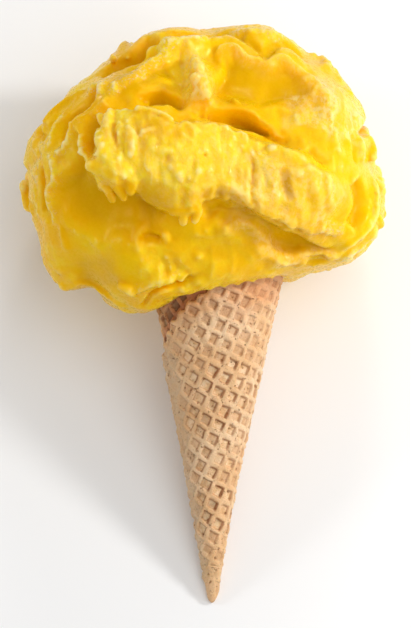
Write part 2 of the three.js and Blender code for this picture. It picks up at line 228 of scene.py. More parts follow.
def prepare(f):
    n = len(f["at"])
    pts = place(f["at"], f["on"] + np.maximum(0, np.broadcast_to(np.asarray(f["h"], float), (n,))))

    def listed(v):
        return np.full(n, float(v)) if np.isscalar(v) else np.asarray(v, float)

    cp = np.column_stack([pts, listed(f["h"]), listed(f["left"][0]), listed(f["left"][1]), listed(f["right"][0]), listed(f["right"][1])])
    line = spline(cp, 2.5)
    a, b = line[:-1, :3], line[1:, :3]
    d = b - a
    ln = np.linalg.norm(d, axis=1)
    t = d / ln[:, None]
    nn = normals((a + b) / 2)
    side = np.cross(nn, t)
    side /= np.linalg.norm(side, axis=1, keepdims=True)
    acc = np.concatenate([[0], np.cumsum(ln)])
    reach = max(np.max(line[:, 4] + line[:, 5]), np.max(line[:, 6] + line[:, 7])) + 4
    return dict(f, a=a, t=t, ln=ln, nn=nn, side=side, u=acc[:-1] / acc[-1], du=ln / acc[-1], total=acc[-1], v0=line[:-1, 3:], v1=line[1:, 3:], lo=line[:, :3].min(0) - reach, hi=line[:, :3].max(0) + reach)


def apply_fold(f, p, n, wob):
    """Raise at points p (upright mm), with n the distance above the scoops."""
    N = len(p)
    wsum = np.zeros(N, np.float32)
    s = np.zeros(N, np.float32)
    u = np.zeros(N, np.float32)
    off = np.zeros(N, np.float32)
    beyond = np.zeros(N, np.float32)
    vals = np.zeros((N, 5), np.float32)
    best = np.full(N, 1e9, np.float32)
    last = len(f["a"]) - 1
    for i in range(last + 1):
        q = p - f["a"][i].astype(np.float32)
        along = q @ f["t"][i].astype(np.float32)
        c = np.clip(along, 0, f["ln"][i])
        q = q - c[:, None] * f["t"][i].astype(np.float32)
        d2 = (q * q).sum(1)
        w = 1.0 / (d2 + 0.3) ** 3
        wsum += w
        si = q @ f["side"][i].astype(np.float32)
        s += w * si
        cu = (c / f["ln"][i])[:, None]
        vals += w[:, None] * (f["v0"][i] * (1 - cu) + f["v1"][i] * cu).astype(np.float32)
        u += w * (f["u"][i] + f["du"][i] * cu[:, 0])
        off += w * np.abs(q @ f["nn"][i].astype(np.float32))
        if i == 0:
            beyond = np.maximum(beyond, np.where(d2 < best, -along, 0))
        if i == last:
            beyond = np.where(d2 < best, np.maximum(along - f["ln"][i], beyond * 0), beyond)
        best = np.minimum(best, d2)
    s, u, off = s / wsum, u / wsum, off / wsum
    vals /= wsum[:, None]
    h, wl, el, wr, er = vals.T
    if f["ragged"]:
        s = s + f["ragged"] * wob
        beyond = beyond + f["ragged"] * wob
    sr = s + f["shear"] * np.clip(n, 0, 8)
    fl = 1 - ss((s - wl + el) / (2 * el))
    fr = 1 - ss((-sr - wr + er) / (2 * er))
    e0, e1 = f["ends"]
    taper = np.ones(N, np.float32)
    if e0:
        taper *= ss(u / e0)
    if e1:
        taper *= ss((1 - u) / e1)
    if f["caps"]:
        taper *= 1 - ss(np.maximum(beyond, 0) / f["caps"] - 0.5)
    else:
        taper *= 1 - ss(np.maximum(beyond, 0) / 4.0)
    taper *= 1 - ss((off - 12) / 8)
    return h * fl * fr * taper


# --- the ribbon across the front, with its ragged left end and hanging lower edge
fold([(107, 138), (115, 139), (130, 141), (145, 144), (157, 153), (170, 162), (185, 170), (200, 166), (215, 164), (230, 168), (245, 176), (262, 181), (280, 190), (297, 200), (312, 208), (325, 215), (338, 226)],
     h=[5, 6, 6, 6, 6, 6, 6, 6, 6, 5.5, 5.2, 4.7, 4.4, 3.8, 3.2, 2.6, 1.6],
     left=([6.5, 9.0, 9.3, 9.4, 10.4, 11, 13.2, 13, 11.2, 10.8, 11, 11.2, 10.6, 10.2, 9.8, 8.5, 5], [0.7, 0.7, 0.7, 0.7, 0.8, 0.9, 1, 1.4, 1.6, 1.6, 1.6, 1.6, 1.5, 1.3, 1.2, 1.2, 1.2]),
     right=([4.0, 8.5, 17.0, 14.0, 11.6, 12.0, 14.2, 12.4, 10.8, 10.4, 10.4, 10.6, 10.0, 9.6, 9.0, 8.5, 5], [1.4, 1.6, 1.6, 1.1, 0.9, 0.9, 0.9, 0.9, 0.9, 0.9, 0.9, 0.9, 0.9, 0.9, 0.9, 0.9, 0.9]),
     shear=0.4, ends=(0, 0.15), caps=1.5, ragged=1.3, rough=0.9, pale_highlight=0.2)
# second, lower sheet on the left, its thin edge and the hollow beside the ribbon
fold([(87, 124), (95, 148), (108, 170), (121, 188)], h=[1.5, 3, 3.8, 3.6], left=(5.5, 2), right=([2.6, 3.6, 3.4, 3.0], 0.6), shear=0.3, ends=(0.15, 0), caps=2.2, ragged=0.5)
fold([(80, 138), (82, 151), (86, 166), (94, 176), (102, 187), (110, 197)], h=1.3, left=(1.0, 2.4), right=(0.4, 0.6), ends=(0.1, 0.1), ragged=0.5, rough=0.5, on=3, icy=0.5)
fold([(101, 118), (98, 132), (99, 147), (105, 162)], h=[-1.5, -3.2, -3.6, -2.5], left=(1.4, 1.2), right=(2.2, 2.6), ends=(0.15, 0.15), smooth=1, on=3)
# sheet that runs up from it to the first crest, with a deep valley behind
fold([(109, 106), (98, 112), (88, 117), (79, 123), (73, 129)], h=[2, 3, 3.2, 3, 2], left=(2.5, 3), right=(0.3, 0.6), ends=(0.12, 0.1), smooth=0.3, icy=0.35)
fold([(106, 100), (98, 107), (88, 113), (77, 120), (69, 130), (67, 140), (62, 147)], h=[-2, -4.5, -5.5, -5, -4.5, -3.5, -2], left=(1.0, 1.1), right=(2.0, 2.0), ends=(0.1, 0.15), smooth=0.6)
fold([(55, 155), (61, 152), (66, 148), (69, 143), (71, 136), (73, 129)], h=1.7, left=(0.5, 0.7), right=(1.2, 2.6), ends=(0.1, 0.1), ragged=0.5, rough=0.8, icy=0.9)
# sheet at the top left
fold([(45, 128), (51, 113), (63, 102), (84, 91)], h=[2.0, 2.6, 2.6, 2.0], left=(0.8, 0.8), right=(1.5, 4), ends=(0.1, 0.12), ragged=0.4, smooth=0.4)
fold([(67, 115), (59, 125), (54, 135), (53, 150)], h=1.6, left=(0.4, 0.6), right=(1.2, 2.4), ends=(0.15, 0.15), ragged=0.5, rough=0.7, icy=0.7)
fold([(43, 133), (48, 138), (50, 148)], h=-2.2, left=(0.7, 0.9), right=(0.7, 0.9), ends=(0.1, 0.3))
# far left: ragged upright edge, groove beside it
fold([(50, 155), (53, 167), (54, 178), (49, 190), (49, 204), (51, 215), (54, 228)], h=[1.2, 1.9, 2.0, 1.7, 1.8, 1.8, 1.0], left=(1.2, 3.0), right=(0.5, 0.5), ends=(0.1, 0.1), ragged=0.6, rough=0.8, icy=0.8)
fold([(47, 170), (44.5, 186), (45, 200), (46, 214)], h=[-2, -3, -3, -2], left=(0.8, 0.9), right=(0.8, 0.9), ends=(0.15, 0.2))
fold([(35, 190), (38, 205), (41, 222)], h=0.8, left=(0.5, 0.8), right=(0.5, 0.8), ends=(0.2, 0.2), ragged=0.4, icy=0.5)
# broad smooth valley at the lower left
fold([(70, 168), (80, 190), (98, 208), (124, 214), (150, 211), (170, 220)], h=[-2.8, -4.6, -5.2, -5, -4.5, -2.5], left=(6.5, 5), right=(6, 6), ends=(0.15, 0.15), smooth=1)
fold([(59, 226), (62, 234), (66, 245), (70, 257)], h=[1.6, 1.8, 1.6, 1.0], left=(0.4, 1.4), right=(0.5, 0.9), ends=(0.25, 0.25), smooth=0.5)
fold([(75, 272), (100, 276), (125, 270)], h=0.5, left=(5, 4), right=(4, 4), ends=(0.3, 0.3), smooth=0.8)
fold([(142, 243), (152, 241), (164, 244)], h=-1.7, left=(1.0, 1.2), right=(1.0, 1.2), ends=(0.2, 0.2))
fold([(140, 256), (136, 247), (138, 239), (144, 234), (150, 233)], h=1.0, left=(0.8, 1.2), right=(0.8, 1.2), ends=(0.2, 0.2), ragged=0.5, rough=0.3)
fold([(128, 265), (160, 262), (195, 252), (235, 245), (268, 258)], h=0.8, left=(4.5, 3), right=(6, 4), ends=(0.15, 0.15), rough=0.34)
# lip round the bottom, with a ledge above it
fold([(141, 305), (152, 295), (163, 289), (174, 286), (190, 281), (208, 275)], h=[-1.5, -2.6, -2.8, -2.6, -2.2, -1.2], left=(0.5, 0.9), right=(0.5, 0.7), ends=(0.1, 0.25))
fold([(118, 290), (135, 292), (152, 285), (170, 279), (190, 272)], h=1.4, left=(1.0, 1.5), right=(1.6, 1.0), ends=(0.2, 0.25), ragged=0.5, rough=0.4, icy=0.35)
fold([(62, 290), (80, 286), (98, 293), (115, 305), (133, 311)], h=1.2, left=(0.8, 0.8), right=(0.9, 0.8), ends=(0.1, 0.15), ragged=0.4)
# crest 1, torn and icy; hollow behind it; smooth face and shaded cave below it
fold([(88, 92), (101, 90), (115, 86), (124, 80), (136, 76), (145, 65), (158, 58), (164, 50), (177, 45), (194, 41), (207, 43)],
     h=[2.5, 3.4, 4, 4.2, 4.2, 4.2, 4.0, 3.4, 2.8, 2.2, 1.6], left=(0.5, 0.7), right=([6, 6, 6, 6, 6, 6, 6, 5, 4, 3, 3], 6.5), ends=(0.08, 0.12), ragged=0.8)
fold([(90, 95), (103, 93), (117, 90), (127, 84), (138, 80), (149, 69), (162, 61), (172, 52), (184, 46), (203, 45)], h=0.9, left=(1.6, 0.7), right=(1.8, 1.0), ends=(0.1, 0.1), ragged=1.0, rough=0.9, on=3.6, icy=1)
fold([(100, 82), (112, 74), (125, 67), (138, 62), (150, 50), (163, 43)], h=[-3, -7, -9, -9, -6.5, -3], left=([4, 6, 7.2, 6.2, 4.5, 3], 3), right=(2.8, 0.9), ends=(0.12, 0.15), smooth=1)
fold([(170, 41), (185, 36), (204, 37)], h=-1.8, left=(0.8, 1.1), right=(0.8, 1.0), ends=(0.2, 0.2), icy=0.2)
fold([(120, 99), (140, 92), (155, 84), (170, 78)], h=-0.8, left=(3.4, 3), right=(3, 3), ends=(0.15, 0.15), smooth=1)
fold([(138, 108), (150, 103), (162, 100), (173, 102), (181, 107), (189, 115)], h=[-1.4, -3.6, -5.0, -5.0, -4.0, -1.8], left=(0.5, 1.0), right=(2.4, 2.6), ends=(0.1, 0.15), smooth=1)
fold([(146, 107), (157, 108), (168, 110)], h=-2.0, left=(1.8, 2.2), right=(0.6, 1.0), ends=(0.3, 0.3), smooth=1)
# tongue
fold([(188, 50), (192, 61), (197, 75), (200, 89), (200, 103), (199, 113)], h=[0.4, 2.4, 4.6, 5.8, 5.6, 3.2], left=([2, 2.6, 3.4, 4.2, 4.4, 3.4], [4.0, 4.5, 4.5, 4.0, 3.0, 2.2]), right=(2.8, 2.2), ends=(0.1, 0.1), caps=2.5, rough=0.4, icy=0.2, pale_highlight=0.8)
# crest 2, groove behind it, smooth scoop below it
fold([(212, 58), (217, 51), (224, 47), (232, 45), (239, 48), (246, 54), (254, 56), (260, 59), (265, 62), (274, 57), (282, 56), (288, 59), (295, 65), (306, 74), (319, 84)],
     h=[1.6, 2.8, 3.2, 3.4, 3.2, 2.8, 2.4, 2.0, 1.8, 2.6, 3, 3, 3, 2.6, 1.5], left=(0.3, 0.9), right=(1.4, 3.2), ends=(0.08, 0.12), ragged=0.4, icy=0.25, pale_highlight=0.4)
fold([(212, 44), (222, 39), (232, 37), (243, 42), (252, 48), (264, 55), (273, 50), (284, 48), (297, 57), (312, 69)], h=[-0.8, -1.4, -1.6, -1.6, -1.6, -1.6, -1.6, -1.6, -1.4, -0.8], left=(1.8, 2.0), right=(1.2, 0.9), ends=(0.12, 0.15), smooth=0.7)
fold([(216, 60), (223, 53), (231, 52)], h=1.2, left=(1.4, 1.6), right=(1.4, 1.6), ends=(0.25, 0.25), ragged=0.4, on=3.5)
fold([(218, 80), (238, 84), (258, 90), (274, 102), (276, 116)], h=[-2.4, -3.4, -3.8, -3.2, -1.4], left=(6.5, 6), right=(6, 6), ends=(0.12, 0.2), smooth=1)
fold([(207, 108), (228, 106), (248, 110), (264, 121)], h=0.9, left=(2.6, 4.5), right=(2.4, 3.5), ends=(0.25, 0.25), smooth=1)
# lower edge of that layer hangs over a wedge-shaped crevice
fold([(199, 119), (212, 117), (233, 116), (245, 119), (254, 127), (264, 134), (276, 141), (292, 148)], h=[1, 2.2, 3.0, 3.2, 3.0, 2.6, 2.0, 1], left=(3.0, 3.8), right=(0.3, 1.1), shear=0.3, ends=(0.1, 0.15), smooth=0.4)
fold([(197, 122), (212, 122), (233, 125), (246, 129), (257, 135), (271, 142)], h=[-1.2, -2.8, -3.8, -4.2, -3.4, -1.6], left=([0.3, 0.8, 1.4, 1.4, 0.9, 0.4], 1.0), right=([0.2, 1.0, 1.7, 1.7, 1.0, 0.4], 0.9), ends=(0.06, 0.08), smooth=1)
fold([(275, 140), (281, 143), (286, 149)], h=-0.8, left=(0.7, 1.2), right=(0.8, 1.2), ends=(0.2, 0.2))
# bulge on the right
fold([(306, 78), (318, 88), (326, 101), (329, 116), (326, 138)], h=[1.2, 2.2, 2.4, 2.2, 1.2], left=(3.0, 6.0), right=(3.4, 4.0), ends=(0.15, 0.2), rough=0.35, pale_highlight=0.9)
fold([(306, 96), (308, 114), (305, 134)], h=0.3, left=(8, 5), right=(5, 5), ends=(0.2, 0.2), rough=0.5, icy=0.4, pale_highlight=0.9)
fold([(350, 100), (354, 125), (352, 150)], h=0.3, left=(6, 4), right=(6, 4), ends=(0.2, 0.2), rough=0.4, pale_highlight=0.7, on=1)
fold([(304, 154), (313, 163), (324, 171)], h=[-1.6, -2.4, -1.6], left=(1.2, 1.8), right=(1.0, 1.4), ends=(0.2, 0.2))
# valley under the ribbon on the right, the ridge below it and the edge on the right
fold([(202, 211), (214, 207), (228, 211), (243, 223), (260, 233), (280, 244), (300, 252), (318, 256), (336, 254)], h=[-1.6, -2.6, -2.8, -2.9, -2.9, -2.9, -2.8, -2.4, -1.4], left=(3.0, 1.8), right=(4.2, 2.4), ends=(0.06, 0.12), smooth=1)
fold([(214, 226), (230, 229), (250, 235), (261, 244), (279, 259), (291, 264), (317, 262), (332, 260), (342, 253)], h=[0.5, 1.6, 2.2, 2.6, 2.6, 2.6, 2.6, 2.2, 1.5], left=(0.4, 0.9), right=(2.4, 3), ends=(0.12, 0.1), ragged=0.6, rough=0.5, pale_highlight=0.4, icy=0.2)
fold([(293, 273), (301, 265), (317, 264), (333, 260)], h=1.2, left=(0.5, 0.6), right=(0.6, 0.7), ends=(0.1, 0.1), ragged=0.4, icy=0.3)
fold([(371, 176), (374, 190), (374, 205), (370, 222), (362, 238), (350, 249), (338, 255)], h=[1, 1.4, 1.4, 1.4, 1.4, 1.4, 1.0], left=(1.2, 1.0), right=(0.8, 0.8), ends=(0.1, 0.1), ragged=0.5, rough=0.5, pale_highlight=0.6)
fold([(351, 182), (357, 200), (355, 218), (346, 232)], h=[-2.2, -3.4, -3.4, -2], left=(2.4, 2), right=(2.8, 2.6), ends=(0.15, 0.15), smooth=1)
# swirls on the right of the ribbon
fold([(251, 168), (248.5, 180), (249, 198), (252, 215)], h=-0.6, left=(0.5, 0.9), right=(0.5, 1.1), ends=(0.12, 0.12), on=5)
fold([(253, 165), (256, 176), (256, 192), (257, 206), (259, 219)], h=0.8, left=(0.9, 1.2), right=(0.8, 0.9), ends=(0.12, 0.12), on=4)
fold([(283, 180), (283, 189), (287, 198)], h=-0.5, left=(1.4, 0.8), right=(1.4, 1.0), ends=(0.1, 0.2), smooth=1, on=4.5)
fold([(271, 167), (278, 171), (286, 175), (296, 176), (305, 173), (316, 174), (325, 181), (328, 192), (332, 206), (338, 222)], h=[0.6, 0.8, 0.9, 0.9, 1.0, 1.0, 0.9, 0.8, 0.6, 0.4], left=(0.5, 0.9), right=(1.6, 2.4), ends=(0.08, 0.15), on=3, icy=0.35)
fold([(295, 183), (295, 200), (299, 215), (304, 229)], h=0.5, left=(1.2, 1.6), right=(1.2, 1.6), ends=(0.15, 0.15), on=4)
fold([(303, 188), (306, 204), (310, 222)], h=-0.4, left=(0.5, 0.7), right=(0.5, 0.7), ends=(0.15, 0.2), on=4)
fold([(312, 184), (315, 200), (319, 217)], h=0.4, left=(1.0, 1.4), right=(1.0, 1.4), ends=(0.2, 0.2), ragged=0.3, on=4)
fold([(322, 192), (324, 207), (329, 224)], h=-0.5, left=(0.5, 0.9), right=(0.5, 0.9), ends=(0.15, 0.2), on=3.5)
fold([(246, 180), (266, 190), (292, 202), (316, 212), (334, 224)], h=0.3, left=(8.5, 3), right=(8.5, 3), ends=(0.15, 0.1), on=4, smooth=0.3, pale_highlight=0.45)
fold([(206, 176), (222, 182), (238, 190)], h=0.2, left=(4, 3), right=(4, 3), ends=(0.25, 0.25), on=5, smooth=0.35)
fold([(140, 128), (160, 132), (182, 142)], h=0.2, left=(3, 2.5), right=(3, 2.5), ends=(0.25, 0.25), on=5, smooth=0.4)
fold([(376, 226), (371, 238), (362, 249), (350, 258), (338, 265)], h=[0.4, 0.8, 0.3, 0.9, 0.4], left=(2.6, 1.6), right=(2.2, 1.6), ends=(0.15, 0.15), ragged=0.9, rough=1, pale_highlight=0.5, icy=0.4)
fold([(366, 243), (372, 246), (377, 249)], h=-2.0, left=(0.6, 0.9), right=(0.6, 0.9), ends=(0.2, 0.2))
fold([(352, 254), (356, 261), (359, 266)], h=-1.8, left=(0.6, 0.9), right=(0.6, 0.9), ends=(0.2, 0.2))
fold([(318, 230), (334, 237), (348, 236)], h=0.8, left=(2, 1.4), right=(2, 1.4), ends=(0.25, 0.25), rough=0.6, on=3, icy=0.8)
# upright ridges at the right edge
fold([(335, 132), (336, 146), (335, 160)], h=1.4, left=(0.8, 0.9), right=(1.2, 1.8), ends=(0.2, 0.2), ragged=0.4)
fold([(347, 134), (350, 150), (352, 168)], h=-1.6, left=(0.7, 0.8), right=(0.7, 0.8), ends=(0.2, 0.2))
fold([(357, 132), (360, 148), (362, 166)], h=1.3, left=(1.0, 0.9), right=(1.2, 1.8), ends=(0.2, 0.2), ragged=0.4, rough=0.5, icy=0.4)
# band across the top, behind the crests
fold([(145, 40), (175, 33), (212, 31)], h=1.2, left=(1.2, 1.0), right=(1.2, 1.0), ends=(0.2, 0.2), ragged=0.3)
fold([(222, 36), (245, 33), (268, 34), (290, 42)], h=[0.8, 1, 1.8, 1.4], left=(2.0, 1.4), right=(1.8, 1.2), ends=(0.15, 0.2), ragged=0.5, rough=0.55, icy=0.7)
fold([(258, 168), (268, 178), (272, 196)], h=0.5, left=(1.5, 1.2), right=(1.5, 1.2), ends=(0.2, 0.2), on=4, icy=0.6)
fold([(316, 80), (326, 94), (331, 112), (328, 132)], h=0.4, left=(1.2, 1.2), right=(1.4, 1.4), ends=(0.15, 0.15), on=3, icy=0.9, rough=0.4)
fold([(42, 160), (40, 172), (36, 184)], h=0.5, left=(2.2, 1.6), right=(2, 1.6), ends=(0.2, 0.2), icy=0.8, rough=0.5)
fold([(88, 93), (96, 91), (104, 92)], h=0.5, left=(1.6, 1.2), right=(1.8, 1.4), ends=(0.2, 0.2), icy=0.9, on=3)
fold([(44, 142), (48, 150), (44, 158)], h=0.5, left=(1.8, 1.4), right=(1.6, 1.4), ends=(0.2, 0.2), icy=0.7, rough=0.5)
# --- sides, back and top, where the same passes of the spatula run on
fold([("r", 68, -4), ("r", 82, -2), ("r", 100, 4), ("r", 125, 6), ("r", 155, 0), ("r", 185, 6), ("r", 212, 16)], h=[0.6, 1.2, 2.4, 3.2, 2.0, 1.6, 1.5], left=(6.5, 1.2), right=(6.5, 1.0), shear=0.5, ends=(0.12, 0.15), ragged=1.0, rough=0.75)
fold([("r", 62, 18), ("r", 85, 24), ("r", 112, 28), ("r", 145, 22), ("r", 175, 30)], h=[-2, -4.5, -5.5, -5, -2.5], left=(1.5, 1.2), right=(1.3, 1.1), ends=(0.12, 0.2), smooth=0.8)
fold([("r", 70, 44), ("r", 88, 49), ("r", 115, 50), ("r", 150, 46), ("r", 190, 54), ("r", 235, 52)], h=[1.2, 1.8, 3.0, 4.6, 4.4, 2.5], left=(0.5, 0.9), right=(5, 5), ends=(0.1, 0.15), ragged=0.8, rough=0.45)
fold([("r", 70, 62), ("r", 120, 66), ("r", 175, 68), ("r", 240, 66), ("r", 290, 60)], h=[-2, -4.5, -5, -4.5, -2], left=(2.2, 2), right=(2.4, 1.2), ends=(0.12, 0.15), smooth=0.8)
fold([("r", 20, 74), ("r", 350, 68), ("r", 320, 62), ("r", 295, 54)], h=[1, 2.6, 2.8, 1.5], left=(3.5, 2), right=(0.6, 0.8), ends=(0.15, 0.15), ragged=0.5)
fold([("r", -66, 20), ("r", -88, 12), ("r", -112, 16), ("r", -140, 8), ("r", -168, -2)], h=[1.0, 1.8, 3.6, 3.0, 1.2], left=(5, 1.2), right=(5.5, 1.0), shear=0.5, ends=(0.12, 0.2), ragged=0.9, rough=0.7)
fold([("r", -70, 42), ("r", -95, 36), ("r", -125, 38), ("r", -155, 30)], h=[-2.5, -5, -5.5, -3], left=(1.6, 1.2), right=(1.6, 1.6), ends=(0.12, 0.2), smooth=0.8)
fold([("r", -98, -8), ("r", -112, -13), ("r", -130, -10), ("r", -155, -18)], h=[-1, -3.6, -4.6, -2.5], left=(3.2, 3), right=(3.2, 3), ends=(0.15, 0.2), smooth=1)
fold([("r", 104, -27), ("r", 114, -25), ("r", 126, -22), ("r", 150, -26)], h=[-1, -3.4, -4.6, -2.5], left=(2.6, 2), right=(3, 2.6), ends=(0.12, 0.2), smooth=1)
fold([("r", 100, -40), ("r", 125, -40), ("r", 150, -38), ("r", 175, -40), ("r", 215, -38), ("r", 245, -34), ("r", 262, -34)], h=[0.5, 2, 2.8, 2, 2.2, 1.8, 0.5], left=(2.2, 1.0), right=(2.2, 1.0), shear=0.3, ends=(0.1, 0.1), ragged=0.8, rough=0.4)
fold([("r", 105, -14), ("r", 112, -4), ("r", 116, 12)], h=2.0, left=(0.9, 0.9), right=(0.9, 0.9), ends=(0.2, 0.2), ragged=0.4)
fold([("r", 128, 16), ("r", 132, 4), ("r", 134, -10)], h=-2.0, left=(0.8, 0.9), right=(0.8, 0.9), ends=(0.2, 0.2))
fold([("r", -104, 24), ("r", -110, 10), ("r", -112, -2)], h=1.9, left=(0.9, 0.9), right=(0.9, 0.9), ends=(0.2, 0.2), ragged=0.4)
fold([("r", -128, 22), ("r", -130, 8), ("r", -134, -4)], h=-1.8, left=(0.8, 0.9), right=(0.8, 0.9), ends=(0.2, 0.2))

# Drips, fringe fingers and lumps: chains of (x, y, radius, height of the
# middle over the scoops), or ("r", azimuth, elevation, radius, height).
BEADS = [
    # fingers of the fringe under the left end of the ribbon
    [(107, 176, 1.2, 5.2), (110, 188, 1.5, 5.0), (113, 196, 1.4, 4.6), (116, 205, 1.1, 3.8)],
    [(117, 174, 1.2, 5.8), (120, 186, 1.5, 5.6), (123, 195, 1.5, 5.0), (126, 204, 1.1, 4.2)],
    [(129, 168, 1.4, 6.2), (130, 178, 1.4, 6.0), (132, 188, 1.3, 5.4), (134, 198, 1.1, 4.6)],
    [(138, 172, 1.0, 5.4), (140, 182, 0.8, 4.8)],
    [(102, 170, 1.0, 4.0), (102, 181, 1.1, 4.0), (106, 191, 1.0, 3.6)],
    # strands on the left end of the ribbon
    [(114, 118, 1.1, 5.2), (111, 126, 1.5, 5.6), (110, 138, 1.7, 5.8), (113, 152, 1.6, 5.8), (118, 165, 1.2, 5.4)],
    [(104, 123, 1.1, 4.4), (106, 131, 1.0, 4.8)],
    [(102, 137, 1.0, 4.6), (104, 147, 1.1, 5.0), (107, 156, 0.9, 4.8)],
    [(131, 136, 1.5, 5.8), (135, 150, 1.9, 6.2), (134, 162, 1.7, 6.0)],
    [(121, 130, 0.9, 6.0), (124, 142, 1.1, 6.2), (123, 154, 0.9, 6.0)],
    [(140, 116, 0.9, 5.8), (152, 118, 0.9, 5.9), (163, 122, 0.8, 5.8), (173, 129, 0.8, 5.6)],
    # lumps along its middle and the drip
    [(146, 139, 0.9, 6.0), (155, 136, 0.9, 6.1), (164, 136, 0.8, 6.0)],
    [(183, 132, 0.9, 5.2), (188, 131, 0.8, 5.3), (193, 137, 0.8, 5.4)],
    [(152, 155, 1.5, 5.8), (160, 157, 1.2, 6.0), (172, 158, 1.4, 6.0)],
    [(156, 170, 1.2, 5.2), (157, 173, 0.9, 5.0)],
    [(171, 173, 1.0, 5.8), (177, 178, 1.2, 5.8), (181, 185, 1.0, 5.6)],
    [(158, 182, 0.8, 4.8), (161, 190, 1.2, 4.6), (165, 197, 0.8, 4.0)],
    [(197, 160, 0.8, 5.9), (198, 172, 1.1, 6.0), (196, 182, 1.6, 6.0), (194, 196, 2.0, 6.0), (191, 208, 2.0, 5.4)],
    [(186, 205, 1.6, 4.8), (184, 216, 1.4, 4.2), (183, 227, 1.1, 3.4)],
    [(195, 206, 1.6, 5.4), (197, 216, 1.5, 4.8), (195, 225, 1.1, 3.8)],
    [(204, 194, 0.9, 5.0), (206, 202, 0.8, 4.4), (213, 198, 0.7, 4.4)],
    [(226, 196, 0.9, 4.8), (227, 203, 0.7, 4.0)],
    [(166, 200, 0.9, 3.6), (171, 209, 0.9, 3.4), (178, 216, 0.9, 3.2)],
    # highlights' lumps on the tongue and under the crests
    [(194, 64, 1.3, 5.0), (199, 74, 1.8, 6.2)],
    [(196, 86, 1.8, 7.2), (203, 91, 2.2, 6.8), (206, 100, 1.8, 5.6)],
    [(205, 45, 1.2, 3.6), (198, 42, 1.0, 3.8), (190, 44, 1.0, 4.2)],
    [(222, 51, 1.5, 4.6), (224, 56, 1.4, 4.4)],
    [(214, 64, 1.4, 4.2), (218, 59, 1.2, 4.2)],
    [(232, 106, 0.7, 2.6), (236, 110, 0.8, 2.6)],
    [(240, 87, 0.5, -1.6), (245, 81, 0.5, -1.6)],
    # lower mass
    [(166, 238, 1.2, -0.1), (169, 244, 1.3, -0.1)],
    [(122, 288, 1.2, 1.2), (128, 291, 1.6, 1.6), (134, 294, 1.3, 1.4)],
    [(61, 289, 1.4, 0.8), (66, 291, 1.1, 0.6)],
    # edge on the right
    [(376, 184, 1.2, 0.9), (381, 187, 1.1, 1.6)],
    [(377, 218, 1.2, 0.8), (378, 226, 1.4, 0.6)],
    [(368, 140, 1.2, 0.5), (372, 150, 1.2, 0.6), (374, 160, 1.2, 0.6)],
    [(108, 52, 0.9, 0.8), (110, 55, 1.0, 0.4)],
    # sides and back
    [("r", 106, -10, 1.4, 3.4), ("r", 107, -16, 1.2, 2.8)],
    [("r", 118, -6, 1.7, 4.8), ("r", 119, -13, 1.6, 4.2), ("r", 119, -19, 1.1, 3.2)],
    [("r", 140, -8, 1.4, 4.6), ("r", 141, -14, 1.0, 3.6)],
    [("r", 166, -6, 1.6, 4.6), ("r", 167, -13, 1.2, 3.6)],
    [("r", -96, 2, 1.6, 2.6), ("r", -97, -5, 1.3, 2.0)],
    [("r", -106, 6, 1.6, 4.6), ("r", -107, -2, 1.4, 3.6), ("r", -107, -8, 1.0, 2.6)],
    [("r", -128, 0, 1.6, 4.6), ("r", -129, -7, 1.1, 3.4)],
    [("r", -150, -6, 1.4, 4.2), ("r", -151, -12, 1.0, 3.0)],
]


